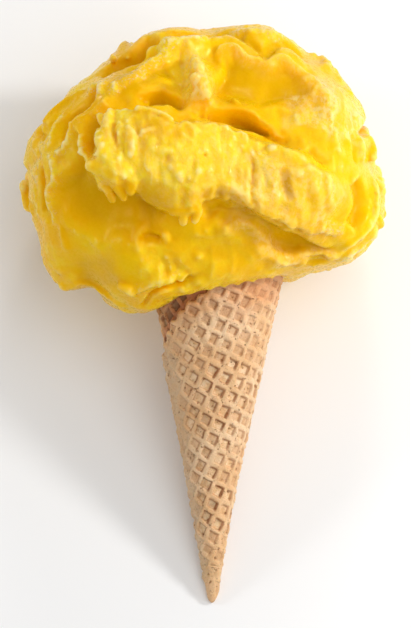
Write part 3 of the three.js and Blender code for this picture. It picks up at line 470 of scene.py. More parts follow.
def grid_field(h):
    """The gelato's field on a grid, worked out only near the surface. The grid's
    pitch is h at the front, where the detail is, and grows towards the back.
    Returns the field, and the pitch and place of each layer of the grid."""
    y, ys, hs = -58.0, [], []
    while y < 54.0:
        k = h * (1 + 0.9 * float(ss((y + 26.0) / 62.0)))
        ys.append(y)
        hs.append(k)
        y += k
    ys, hs = np.array(ys), np.array(hs)
    cx, cz = 1.0, 146.0
    nx, nz = int(136 / h) + 2, int(112 / h) + 2
    ny = len(ys)
    B = 6
    nb = [-(-nx // B), -(-ny // B), -(-nz // B)]
    nx, ny2, nz = nb[0] * B, nb[1] * B, nb[2] * B
    ys = np.concatenate([ys, ys[-1] + hs[-1] * np.arange(1, ny2 - ny + 1)])
    hs = np.concatenate([hs, np.full(ny2 - ny, hs[-1])])

    def at(i, j, k):
        jj = np.clip(np.asarray(j), 0, ny2 - 1)
        j0 = np.floor(jj).astype(int)
        f = jj - j0
        j1 = np.minimum(j0 + 1, ny2 - 1)
        hh = hs[j0] * (1 - f) + hs[j1] * f
        yy = ys[j0] * (1 - f) + ys[j1] * f
        return np.stack([cx + (i - nx / 2) * hh, yy, cz + (k - nz / 2) * hh], -1)

    I, J, K = np.meshgrid(*[np.arange(nb[k]) * B + (B - 1) / 2 for k in range(3)], indexing="ij")
    ctr = at(I, J, K)
    d = base(ctr.reshape(-1, 3)).reshape(nb)
    half = hs[np.clip(J.astype(int), 0, ny2 - 1)] * B * 0.9
    # every second point first
    C = B // 2
    coarse = np.repeat(np.repeat(np.repeat(np.where(d > 0, 9.0, -9.0), C, 0), C, 1), C, 2).astype(np.float32)
    near = np.argwhere(np.abs(d) < 10.5 + half)
    offs = np.stack(np.meshgrid(*[np.arange(C)] * 3, indexing="ij"), -1).reshape(-1, 3)
    ijk = (near[:, None, :] * C + offs[None]).reshape(-1, 3)
    coarse[ijk[:, 0], ijk[:, 1], ijk[:, 2]] = gelato_field(at(2 * ijk[:, 0], 2 * ijk[:, 1], 2 * ijk[:, 2]).astype(np.float32))
    # then the rest, where the surface passes
    lo, hi = coarse.copy(), coarse.copy()
    for ax in range(3):
        for arr, f in ((lo, np.minimum), (hi, np.maximum)):
            for shift in (1, -1):
                arr[...] = f(arr, np.roll(arr, shift, ax))
    live = np.argwhere((lo < 0.7) & (hi > -0.7))
    field = np.repeat(np.repeat(np.repeat(coarse, 2, 0), 2, 1), 2, 2)
    offs = np.stack(np.meshgrid(*[np.arange(2)] * 3, indexing="ij"), -1).reshape(-1, 3)[1:]
    ijk = (live[:, None, :] * 2 + offs[None]).reshape(-1, 3)
    field[ijk[:, 0], ijk[:, 1], ijk[:, 2]] = gelato_field(at(ijk[:, 0], ijk[:, 1], ijk[:, 2]).astype(np.float32))
    print("grid", field.shape, "points", len(near) * C ** 3 + len(ijk))

    def index_of(q):
        """Grid index (not whole) of upright points."""
        j = np.interp(q[:, 1], ys, np.arange(ny2))
        hh = np.interp(q[:, 1], ys, hs)
        return np.stack([(q[:, 0] - cx) / hh + nx / 2, j, (q[:, 2] - cz) / hh + nz / 2], 1)

    return field, at, index_of


def sample(field, index_of, q):
    i = np.clip(np.round(index_of(q)).astype(int), 0, np.array(field.shape) - 1)
    return field[i[:, 0], i[:, 1], i[:, 2]]


def drop(field, index_of, spots, out):
    """Moves spots along their outward direction onto the surface as it is so far."""
    t = np.arange(12.0, -9.0, -0.4)
    q = spots[:, None] + out[:, None] * t[None, :, None]
    v = sample(field, index_of, q.reshape(-1, 3)).reshape(len(spots), -1)
    first = np.argmax(v < 0, 1)
    return q[np.arange(len(spots)), first], (v < 0).any(1)


def clumps(field, at, index_of, spots, radii, k=0.7, add=True):
    """Joins (or sinks) small balls of gelato into the field."""
    idx = index_of(spots)
    shape = np.array(field.shape)
    for c, r, i in zip(spots, radii, idx):
        hh = at(i[0], i[1], i[2])
        reach = int(np.ceil((r + 2.2 * k) / PITCH)) + 1
        lo = np.maximum(np.floor(i).astype(int) - reach, 0)
        hi = np.minimum(np.floor(i).astype(int) + reach + 2, shape)
        if (hi <= lo).any():
            continue
        g = np.meshgrid(*[np.arange(lo[a], hi[a]) for a in range(3)], indexing="ij")
        p = at(*g)
        d = np.sqrt(((p - c) ** 2).sum(-1)) - r
        f = field[lo[0]:hi[0], lo[1]:hi[1], lo[2]:hi[2]]
        if add:
            w = np.clip(0.5 + 0.5 * (f - d) / k, 0, 1)
            f[...] = f * (1 - w) + d * w - k * w * (1 - w)
        else:
            d = -d
            w = np.clip(0.5 - 0.5 * (f - d) / k, 0, 1)
            f[...] = f * (1 - w) + d * w + k * w * (1 - w)


def gelato_field(p):
    warp = np.stack([noise(p, 9.0, k) * 1.0 + noise(p, 4.3, k + 3) * 0.45 for k in range(3)], 1)
    q = p + warp
    n = base(q)
    wob = noise(p, 5.0, 6) * 0.7 + noise(p, 2.4, 7) * 0.45
    out = n.copy()
    for f in _ready:
        m = np.all((q > f["lo"]) & (q < f["hi"]), axis=1)
        if m.any():
            out[m] -= apply_fold(f, q[m], n[m], wob[m])
    # the ground trims a small flat on the back
    return np.maximum(out, -height(p))


def surface_nets(v, at):
    """Quads of the zero level of v."""
    inside = v < 0
    c = [inside[i:inside.shape[0] - 1 + i, j:inside.shape[1] - 1 + j, k:inside.shape[2] - 1 + k] for i in (0, 1) for j in (0, 1) for k in (0, 1)]
    s = sum(x.astype(np.int8) for x in c)
    cell = np.argwhere((s > 0) & (s < 8))
    index = np.full([d - 1 for d in v.shape], -1, np.int32)
    index[cell[:, 0], cell[:, 1], cell[:, 2]] = np.arange(len(cell))
    corner = np.array([(i, j, k) for i in (0, 1) for j in (0, 1) for k in (0, 1)])
    vals = np.stack([v[cell[:, 0] + i, cell[:, 1] + j, cell[:, 2] + k] for i, j, k in corner], 1)
    acc = np.zeros((len(cell), 3))
    cnt = np.zeros(len(cell))
    for a in range(8):
        for b in range(a + 1, 8):
            if np.abs(corner[a] - corner[b]).sum() != 1:
                continue
            m = (vals[:, a] < 0) != (vals[:, b] < 0)
            t = vals[m, a] / (vals[m, a] - vals[m, b])
            acc[m] += corner[a] + (corner[b] - corner[a]) * t[:, None]
            cnt[m] += 1
    c = cell + acc / cnt[:, None]
    verts = at(c[:, 0], c[:, 1], c[:, 2])
    quads = []
    for ax in range(3):
        b, c2 = (ax + 1) % 3, (ax + 2) % 3
        sl0 = [slice(None)] * 3
        sl1 = [slice(None)] * 3
        sl0[ax], sl1[ax] = slice(0, -1), slice(1, None)
        for k in (b, c2):
            sl0[k] = sl1[k] = slice(1, -1)
        s0, s1 = inside[tuple(sl0)], inside[tuple(sl1)]
        for flip, m in ((False, s0 & ~s1), (True, ~s0 & s1)):
            e = np.argwhere(m)
            e[:, b] += 1
            e[:, c2] += 1
            ub, uc = np.eye(3, dtype=int)[b], np.eye(3, dtype=int)[c2]
            q = [e - ub - uc, e - uc, e, e - ub]
            q = [index[tuple(x.T)] for x in q]
            if flip:
                q = q[::-1]
            quads.append(np.stack(q, 1))
    quads = np.vstack(quads)
    return verts, quads[(quads >= 0).all(1)]


def masks(v):
    """Where the surface is torn and rough, where the spatula left it smooth (its hollows get painted shade), where it
    is icy and sparkles (its glints partly painted) and where it is painted paler, partly as a painted highlight.
    """
    p = v.astype(np.float32)
    n = base(p)
    wob = np.zeros(len(p), np.float32)
    out = dict(rough=np.full(len(p), 0.15, np.float32), smooth=np.zeros(len(p), np.float32), icy=np.zeros(len(p), np.float32), pale_highlight=np.zeros(len(p), np.float32))
    for f in _ready:
        if not any(f[k] for k in out):
            continue
        m = np.all((p > f["lo"]) & (p < f["hi"]), axis=1)
        if m.any():
            a = np.abs(apply_fold(dict(f, shear=0), p[m], n[m], wob[m])) / (np.max(np.abs(f["v0"][:, 0])) + 1e-6)
            for k, v in out.items():
                if f[k]:
                    v[m] = np.maximum(v[m], f[k] * np.clip(a * 1.5, 0, 1))
    return out["rough"], out["smooth"], out["icy"], out["pale_highlight"]


def biggest(verts, quads):
    """The largest connected piece only."""
    label = np.arange(len(verts))
    while True:
        m = label[quads].min(1)
        new = label.copy()
        for k in range(4):
            np.minimum.at(new, quads[:, k], m)
        new = new[new]
        if (new == label).all():
            break
        label = new
    root = np.bincount(label[quads[:, 0]]).argmax()
    keep = label == root
    remap = np.cumsum(keep) - 1
    q = quads[keep[quads[:, 0]]]
    return verts[keep], remap[q]


def bead_chains():
    """The balls of the named drips and lumps."""
    centres, radii = [], []
    for chain in BEADS:
        spots = [c[:3] if c[0] == "r" else c[:2] for c in chain]
        r = np.array([c[-2] for c in chain], float)
        h = np.array([c[-1] for c in chain], float)
        pos = place(spots, h)
        out = normals(pos)
        cp = np.column_stack([pos + out * (h - r * 0.35)[:, None], r])
        line = spline(cp, 0.5) if len(chain) > 1 else cp
        centres.append(line[:, :3])
        radii.append(line[:, 3])
    return np.vstack(centres), np.concatenate(radii)


def add_clumps():
    """Torn gelato: strands and small clumps over the rough folds, pulled down the face."""
    rng = np.random.RandomState(5)
    c, r = bead_chains()
    wav = np.stack([noise(c.astype(np.float32), 3.0, k) for k in range(3)], 1)
    clumps(_field, _at, _index_of, c + wav * 0.35, r * (1 + 0.18 * noise(c.astype(np.float32), 2.2, 4)), 0.7)
    spots, outs, radii, length = [], [], [], []
    for f in _ready:
        if f["rough"] < 0.35:
            continue
        n = len(f["a"])
        reach = f["v0"][:, 1].mean() + f["v0"][:, 3].mean()
        # along the lower edge
        count = int(f["total"] / 1.8 * f["rough"])
        i = rng.randint(0, n, count)
        w = -f["v0"][i, 3] + rng.rand(count) * 1.5
        spots.append(f["a"][i] + f["t"][i] * (f["ln"][i] * rng.rand(count))[:, None] + f["side"][i] * w[:, None])
        outs.append(f["nn"][i])
        radii.append(0.5 + 0.7 * rng.rand(count) ** 2)
        length.append(0.8 + 2.6 * rng.rand(count))
        # over the face
        count = int(f["total"] * reach / 20.0 * f["rough"])
        i = rng.randint(0, n, count)
        w = rng.rand(count) * (f["v0"][i, 1] + f["v0"][i, 3]) - f["v0"][i, 3]
        spots.append(f["a"][i] + f["t"][i] * (f["ln"][i] * rng.rand(count))[:, None] + f["side"][i] * w[:, None])
        outs.append(f["nn"][i])
        radii.append(0.45 + 0.6 * rng.rand(count) ** 2)
        length.append(0.4 + 3.6 * rng.rand(count) ** 1.5)
    spots, outs, radii, length = np.vstack(spots), np.vstack(outs), np.concatenate(radii), np.concatenate(length)
    keep = masks(spots)[1] < 0.35
    spots, outs, radii, length = spots[keep], outs[keep], radii[keep], length[keep]
    down = np.array([0, 0, -1.0]) - outs * (-outs[:, 2:3])
    down += 0.22 * rng.randn(len(outs), 3)
    down -= outs * (down * outs).sum(1, keepdims=True)
    down /= np.linalg.norm(down, axis=1, keepdims=True)
    balls, bo, br = [], [], []
    for k in range(12):
        t = k * 0.75 * radii
        m = t <= length
        taper = 1 - 0.45 * np.abs(2 * t / np.maximum(length, 0.1) - 1) ** 2
        balls.append((spots + down * t[:, None])[m])
        bo.append(outs[m])
        br.append((radii * taper)[m])
    balls, bo, br = np.vstack(balls), np.vstack(bo), np.concatenate(br)
    p, hit = drop(_field, _index_of, balls, bo)
    p, bo, br = p[hit], bo[hit], br[hit]
    clumps(_field, _at, _index_of, p - bo * br[:, None] * 0.55, br, 0.8)
    # crumbly patches anywhere but in the smooth scoops
    d = rng.randn(1100, 3)
    d /= np.linalg.norm(d, axis=1, keepdims=True)
    q = hits(np.repeat(CORE[None], len(d), 0), d)
    mask = noise(q.astype(np.float32), 14.0, 3) > -0.05
    sm = masks(q)[1]
    mask &= sm < 0.15
    q, d = q[mask], d[mask]
    q, hit = drop(_field, _index_of, q, d)
    q, d = q[hit], d[hit]
    r = 0.6 + 1.0 * rng.rand(len(q)) ** 2.5
    clumps(_field, _at, _index_of, q - d * r[:, None] * 0.35, r, 0.8)


def relax(verts, quads, rounds, k):
    e = np.vstack([quads[:, [0, 1]], quads[:, [1, 2]], quads[:, [2, 3]], quads[:, [3, 0]]])
    for _ in range(rounds):
        acc = np.zeros_like(verts)
        deg = np.bincount(e.ravel(), minlength=len(verts))[:, None]
        for ax in range(3):
            acc[:, ax] = np.bincount(e[:, 0], verts[e[:, 1], ax], len(verts)) + np.bincount(e[:, 1], verts[e[:, 0], ax], len(verts))
        verts = verts + k * (acc / np.maximum(deg, 1) - verts)
    return verts


def mesh_object(name, verts, faces, mat, smooth=True):
    me = bpy.data.meshes.new(name)
    faces = np.asarray(faces)
    k = faces.shape[1]
    me.vertices.add(len(verts))
    me.vertices.foreach_set("co", np.asarray(verts, np.float32).ravel())
    me.loops.add(faces.size)
    me.loops.foreach_set("vertex_index", faces.astype(np.int32).ravel())
    me.polygons.add(len(faces))
    me.polygons.foreach_set("loop_start", (np.arange(len(faces)) * k).astype(np.int32))
    me.polygons.foreach_set("loop_total", np.full(len(faces), k, np.int32))
    me.update(calc_edges=True)
    me.validate()
    me.polygons.foreach_set("use_smooth", np.full(len(me.polygons), smooth))
    o = bpy.data.objects.new(name, me)
    bpy.context.scene.collection.objects.link(o)
    me.materials.append(mat)
    return o


def nodes_of(name):
    mat = bpy.data.materials.new(name)
    mat.use_nodes = True
    nt = mat.node_tree
    nt.nodes.clear()
    out = nt.nodes.new("ShaderNodeOutputMaterial")
    bsdf = nt.nodes.new("ShaderNodeBsdfPrincipled")
    nt.links.new(bsdf.outputs[0], out.inputs[0])
    return mat, nt, bsdf


class Net:
    """Short-hand for building shader nodes."""

    def __init__(self, nt):
        self.nt = nt
        self.coord = nt.nodes.new("ShaderNodeTexCoord").outputs["Object"]

    def node(self, kind, **values):
        n = self.nt.nodes.new(kind)
        for k, v in values.items():
            setattr(n, k, v)
        return n

    def link(self, a, b):
        self.nt.links.new(a, b)

    def put(self, socket, v):
        if hasattr(v, "is_output"):
            self.link(v, socket)
        else:
            socket.default_value = v

    def attr(self, name):
        n = self.node("ShaderNodeAttribute", attribute_name=name)
        return n.outputs["Fac"]

    def math(self, op, a, b=0.0, clamp=False):
        n = self.node("ShaderNodeMath", operation=op, use_clamp=clamp)
        self.put(n.inputs[0], a)
        self.put(n.inputs[1], b)
        return n.outputs[0]

    def ramp(self, v, lo, hi, a=0.0, b=1.0):
        n = self.node("ShaderNodeMapRange", interpolation_type="SMOOTHSTEP")
        self.put(n.inputs["Value"], v)
        n.inputs["From Min"].default_value = lo
        n.inputs["From Max"].default_value = hi
        n.inputs["To Min"].default_value = a
        n.inputs["To Max"].default_value = b
        return n.outputs["Result"]

    def mix(self, f, a, b, mode="MIX"):
        n = self.node("ShaderNodeMix", data_type="RGBA", blend_type=mode)
        self.put(n.inputs[0], f)
        self.put(n.inputs[6], a if hasattr(a, "is_output") else (*a, 1))
        self.put(n.inputs[7], b if hasattr(b, "is_output") else (*b, 1))
        return n.outputs[2]

    def noise(self, scale, detail=2.0, rough=0.5, stretch=None, distortion=0.0):
        """Noise whose wavelength is scale millimetres."""
        n = self.node("ShaderNodeTexNoise")
        n.inputs["Scale"].default_value = 1000.0 / scale
        n.inputs["Detail"].default_value = detail
        n.inputs["Roughness"].default_value = rough
        n.inputs["Distortion"].default_value = distortion
        if stretch:
            m = self.node("ShaderNodeMapping")
            m.inputs["Scale"].default_value = stretch
            self.link(self.coord, m.inputs["Vector"])
            self.link(m.outputs[0], n.inputs["Vector"])
        else:
            self.link(self.coord, n.inputs["Vector"])
        return n.outputs["Fac"]

    def cells(self, scale):
        n = self.node("ShaderNodeTexVoronoi")
        n.inputs["Scale"].default_value = 1000.0 / scale
        self.link(self.coord, n.inputs["Vector"])
        return n.outputs["Distance"]

    def bump(self, heights, normal=None):
        """heights: list of (socket, millimetres)."""
        total = None
        for v, mm in heights:
            t = self.math("MULTIPLY", v, mm / 1000.0)
            total = t if total is None else self.math("ADD", total, t)
        n = self.node("ShaderNodeBump")
        n.inputs["Strength"].default_value = 1.0
        n.inputs["Distance"].default_value = 1.0
        self.link(total, n.inputs["Height"])
        if normal is not None:
            self.link(normal, n.inputs["Normal"])
        return n.outputs[0]


def srgb(r, g, b):
    return tuple(((c / 255 + 0.055) / 1.055) ** 2.4 if c > 10 else c / 255 / 12.92 for c in (r, g, b))


def gelato_material():
    mat, nt, b = nodes_of("gelato")
    n = Net(nt)
    rough, ridge, lump, icy = n.attr("torn"), n.attr("ridge"), n.attr("lump"), n.attr("icy")
    fine = n.noise(1.1, 3, 0.6)
    speck = n.noise(0.9, 3, 0.7)
    mid = n.noise(3.2, 2, 0.5, stretch=(1, 0.5, 1))
    wide = n.noise(18, 2, 0.5)
    col = n.mix(n.ramp(wide, 0.35, 0.65), srgb(243, 186, 0), srgb(249, 198, 0))
    col = n.mix(n.math("MULTIPLY", rough, n.ramp(mid, 0.38, 0.62, 0.35, 1.0)), col, srgb(253, 214, 32))
    # convex ridges and lumps painted paler and creamier: partly painted highlight, partly the pale torn crumbs
    lift = n.math("ADD", n.math("MULTIPLY", n.ramp(ridge, 0.1, 1.0), 0.5), n.math("MULTIPLY", n.ramp(lump, 0.05, 0.8), 0.8), clamp=True)
    col = n.mix(n.math("MULTIPLY", lift, 0.85), col, srgb(255, 222, 158))
    # fine creases between the lumps painted darker: painted shade
    col = n.mix(n.math("MULTIPLY", n.ramp(lump, -0.1, -0.8), 0.6), col, srgb(240, 176, 0))
    # smooth scooped hollows painted a deeper gold: painted shade, partly the deeper colour of smooth gelato
    col = n.mix(n.math("MULTIPLY", n.attr("slick_shade"), 0.85), col, srgb(224, 174, 0))
    mottle = n.noise(1.5, 2, 0.6, stretch=(1, 0.6, 1))
    # creamy places painted paler in mottled specks: partly a painted highlight, partly the creamy gelato
    col = n.mix(n.math("MULTIPLY", n.attr("pale_highlight"), n.ramp(mottle, 0.42, 0.58, 0.12, 0.85), clamp=True), col, srgb(255, 224, 152))
    # whitish specks on the icy crumbs: painted glints, partly the paleness of the ice
    grain = n.math("ADD", speck, n.math("MULTIPLY", lump, 0.10))
    col = n.mix(n.math("MULTIPLY", n.ramp(grain, 0.56, 0.64), n.math("MULTIPLY", icy, 0.7)), col, srgb(255, 216, 160))
    n.put(b.inputs["Base Color"], col)
    b.inputs["Subsurface Weight"].default_value = 1.0
    b.inputs["Subsurface Radius"].default_value = (1.0, 0.95, 0.55)
    b.inputs["Subsurface Scale"].default_value = 0.0024
    b.inputs["IOR"].default_value = 1.38
    n.put(b.inputs["Roughness"], n.math("ADD", n.ramp(fine, 0.3, 0.7, 0.20, 0.36), n.math("MULTIPLY", rough, 0.04)))
    b.inputs["Specular Tint"].default_value = (1.0, 0.86, 0.3, 1)
    b.inputs["Specular IOR Level"].default_value = 0.32
    wet = n.math("ADD", n.math("ADD", n.math("MULTIPLY", icy, 0.8), n.math("MULTIPLY", rough, 0.6)), n.math("MULTIPLY", n.attr("pale_highlight"), 0.8), clamp=True)
    n.put(b.inputs["Coat Weight"], n.math("MULTIPLY", wet, n.ramp(speck, 0.42, 0.58)))
    b.inputs["Coat Roughness"].default_value = 0.07
    b.inputs["Coat IOR"].default_value = 1.5
    tex = n.math("ADD", n.math("MULTIPLY", rough, 0.55), n.math("ADD", n.math("MULTIPLY", icy, 0.8), 0.10))
    nrm = n.bump([(n.math("MULTIPLY", fine, tex), 0.40), (n.math("MULTIPLY", n.noise(0.5, 2, 0.6), tex), 0.16), (n.noise(2.4, 2, 0.5), 0.08), (n.noise(1.3, 1, 0.5, stretch=(1, 0.1, 0.6)), 0.05)])
    n.link(nrm, b.inputs["Normal"])
    n.link(nrm, b.inputs["Coat Normal"])
    return mat


def wafer_material():
    mat, nt, b = nodes_of("wafer")
    n = Net(nt)
    recess, turn, worn = n.attr("recess"), n.attr("turn"), n.attr("worn")
    fine = n.noise(0.55, 3, 0.65)
    mid = n.noise(2.6, 3, 0.6)
    wide = n.noise(14, 2, 0.5)
    ridge_c = n.mix(n.ramp(wide, 0.35, 0.65), srgb(226, 180, 130), srgb(236, 200, 158))
    recess_c = n.mix(n.ramp(mid, 0.35, 0.65), srgb(228, 182, 130), srgb(244, 210, 168))
    col = n.mix(recess, ridge_c, recess_c)
    # recess walls painted darker: painted shade in the recesses
    wall = n.math("MULTIPLY", n.ramp(recess, 0.08, 0.4), n.ramp(recess, 0.97, 0.7))
    col = n.mix(n.math("MULTIPLY", wall, 0.35), col, srgb(176, 108, 52))
    col = n.mix(n.math("MULTIPLY", n.attr("shade"), n.ramp(mid, 0.35, 0.6, 0.9, 0.6)), col, srgb(142, 76, 28))
    col = n.mix(n.math("MULTIPLY", worn, n.ramp(mid, 0.4, 0.6, 0.75, 0.35)), col, srgb(222, 190, 152))
    col = n.mix(n.math("MULTIPLY", n.attr("soak"), 0.6), col, n.mix(recess, srgb(212, 142, 92), srgb(152, 84, 40)))
    # the sheet wound in under the outer turn painted dark, its recesses darkest: painted shade under the overlapping
    # wrap
    under = n.ramp(turn, 0.9, 0.99)
    col = n.mix(n.math("MULTIPLY", under, 0.92), col, n.mix(n.ramp(recess, 0.1, 0.6), srgb(184, 118, 78), srgb(92, 44, 20)))
    pit = n.noise(1.3, 2, 0.5)
    col = n.mix(n.ramp(fine, 0.30, 0.42, 0.5, 0.0), col, srgb(150, 96, 52))
    col = n.mix(n.ramp(pit, 0.27, 0.37, 0.75, 0.0), col, srgb(150, 96, 50))
    col = n.mix(n.ramp(fine, 0.55, 0.75, 0.0, 0.35), col, srgb(244, 214, 180))
    n.put(b.inputs["Base Color"], col)
    b.inputs["Roughness"].default_value = 0.72
    b.inputs["Specular IOR Level"].default_value = 0.35
    b.inputs["Subsurface Weight"].default_value = 0.15
    b.inputs["Subsurface Radius"].default_value = (1.0, 0.5, 0.25)
    b.inputs["Subsurface Scale"].default_value = 0.0012
    rough_up = n.math("ADD", 1.0, n.math("MULTIPLY", worn, 1.6))
    nrm = n.bump([(n.math("MULTIPLY", fine, rough_up), 0.26), (n.math("MULTIPLY", mid, rough_up), 0.30), (n.noise(0.25, 2, 0.6), 0.06), (n.ramp(pit, 0.27, 0.38), 0.3)])
    n.link(nrm, b.inputs["Normal"])
    return mat


import time
_t0 = time.time()
_ready = [prepare(f) for f in FOLDS]
PITCH = 0.645
_field, _at, _index_of = grid_field(PITCH)
print("gelato field", round(time.time() - _t0, 1), "s")
add_clumps()
print("clumps", round(time.time() - _t0, 1), "s")
_v, _q = biggest(*surface_nets(_field, _at))
_v = relax(_v, _q, 1, 0.35)
print("gelato net", len(_v), len(_q), round(time.time() - _t0, 1), "s")



def vertex_normals(v, q):
    n = np.cross(v[q[:, 2]] - v[q[:, 0]], v[q[:, 3]] - v[q[:, 1]])
    out = np.stack([np.bincount(q.ravel(), np.repeat(n[:, k], 4), len(v)) for k in range(3)], 1)
    return out / (np.linalg.norm(out, axis=1, keepdims=True) + 1e-9)


torn, smooth_m, icy, pale_highlight = masks(_v)
torn = np.clip(torn + 0.35 * ss(fractal(_v.astype(np.float32), 16, 2, 5) * 2) - smooth_m, 0, 1)
_soft = relax(_v, _q, 14, 0.5)
_n = vertex_normals(_v, _q)
ridge = ((_v - _soft) * _n).sum(1)
p32 = _v.astype(np.float32)
# drawn down the face: finer across than along
_pw = p32 + np.stack([noise(p32, 9.0, 2) * 1.6, noise(p32, 9.0, 3) * 1.6, noise(p32, 9.0, 4) * 1.6], 1)
_pd = _pw * np.array([1, 1, 0.36], np.float32)
strand = 1 - np.abs(noise(_pd, 3.1, 1)) * 2.4
coarse = 1 - np.abs(noise(_pw * np.array([1, 1, 0.45], np.float32), 5.2, 0)) * 2.2
micro = (0.26 * strand + 0.30 * coarse + 0.20 * noise(_pd, 2.3, 2) + 0.18 * noise(p32, 2.0, 3) + 0.12 * noise(_pd, 1.35, 5)) * torn
micro += icy * (0.20 * noise(p32, 1.5, 6) + 0.14 * noise(p32, 1.1, 7))
micro += 0.05 * noise(p32, 5.0, 4) + (1 - torn) * 0.045 * noise(_pw * np.array([1, 1, 0.12], np.float32), 2.2, 6)
micro[height(_v) < 0.6] = 0
_v = _v + _n * micro[:, None]
_v[:, :] = np.where((height(_v) < 0)[:, None], _v - (height(_v)[:, None] * np.array([0, -CB, SB])), _v)
_near = relax(_v, _q, 4, 0.5)
lump = ((_v - _near) * vertex_normals(_v, _q)).sum(1)
gelato_mat = gelato_material()
gelato = mesh_object("gelato_folds", lay(_v), _q, gelato_mat)
# these attributes carry painted light: the smooth hollows' painted shade, the convexity that paints peaks paler and
# creases darker, the creamy places partly painted as highlight, and the icy crumbs' painted glints
for k, v in dict(slick_shade=smooth_m * (1 - icy), torn=torn, ridge=np.clip(ridge / 0.9, -1, 1), lump=np.clip(lump / 0.30, -1, 1) * (0.25 + 0.75 * torn), icy=icy, pale_highlight=pale_highlight * (0.75 + 0.5 * noise(p32 * np.array([1, 1, 0.5], np.float32), 4.0, 1))).items():
    at = gelato.data.attributes.new(k, "FLOAT", "POINT")
    at.data.foreach_set("value", np.asarray(v, np.float32))
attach(gelato, "root")
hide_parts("gelato")

# ------------------------------------------------------------------ wafer
# A flat disc of baked waffle sheet, rolled so that its edge passes the tip.
# Flat coordinates are millimetres with the tip at (0, 0) and the front up.
TAN, SIN, COS = 0.2, 0.1961, 0.9806
TIP_Z, TIP_ROUND = 6.0, 2.4
SHEET = 1.7
DISC_R, DISC_TURN = 65.2, math.radians(32.5)
DISC_C = DISC_R * np.array([math.sin(DISC_TURN), math.cos(DISC_TURN)])
PITCH_W, GRID_TURN = 4.83, math.radians(26.0)
CELL0 = np.array([-0.58, 92.5])
LINES = np.array([-2.415, -1.98, -1.62, -1.2, -0.85, 0.0, 0.85, 1.2, 1.62, 1.98])


def turns(p):
    """How far round the cone a flat point lies from the disc's outer edge, in turns."""
    l = np.hypot(p[:, 0], p[:, 1])
    edge = DISC_TURN - np.arccos(np.clip(l / (2 * DISC_R), 0, 1))
    return (np.arctan2(p[:, 0], p[:, 1]) - edge) / (2 * math.pi * SIN)


def roll(p, lift):
    """Flat points, and heights over the sheet's outer face, as upright points."""
    l = np.hypot(p[:, 0], p[:, 1])
    az = np.arctan2(p[:, 0], p[:, 1]) / SIN
    a = turns(p)
    t = SHEET * ss((l * COS - TIP_Z) / 60 + 0.1)
    r = l * SIN - t * np.clip(a, 0, 1.2) + lift * COS
    r = r * (1 + 0.010 * np.sin(2 * az + 0.6) + 0.006 * np.sin(3 * az + l * 0.05))
    z = l * COS - lift * SIN
    return np.stack([r * np.sin(az), -r * np.cos(az), z], 1)


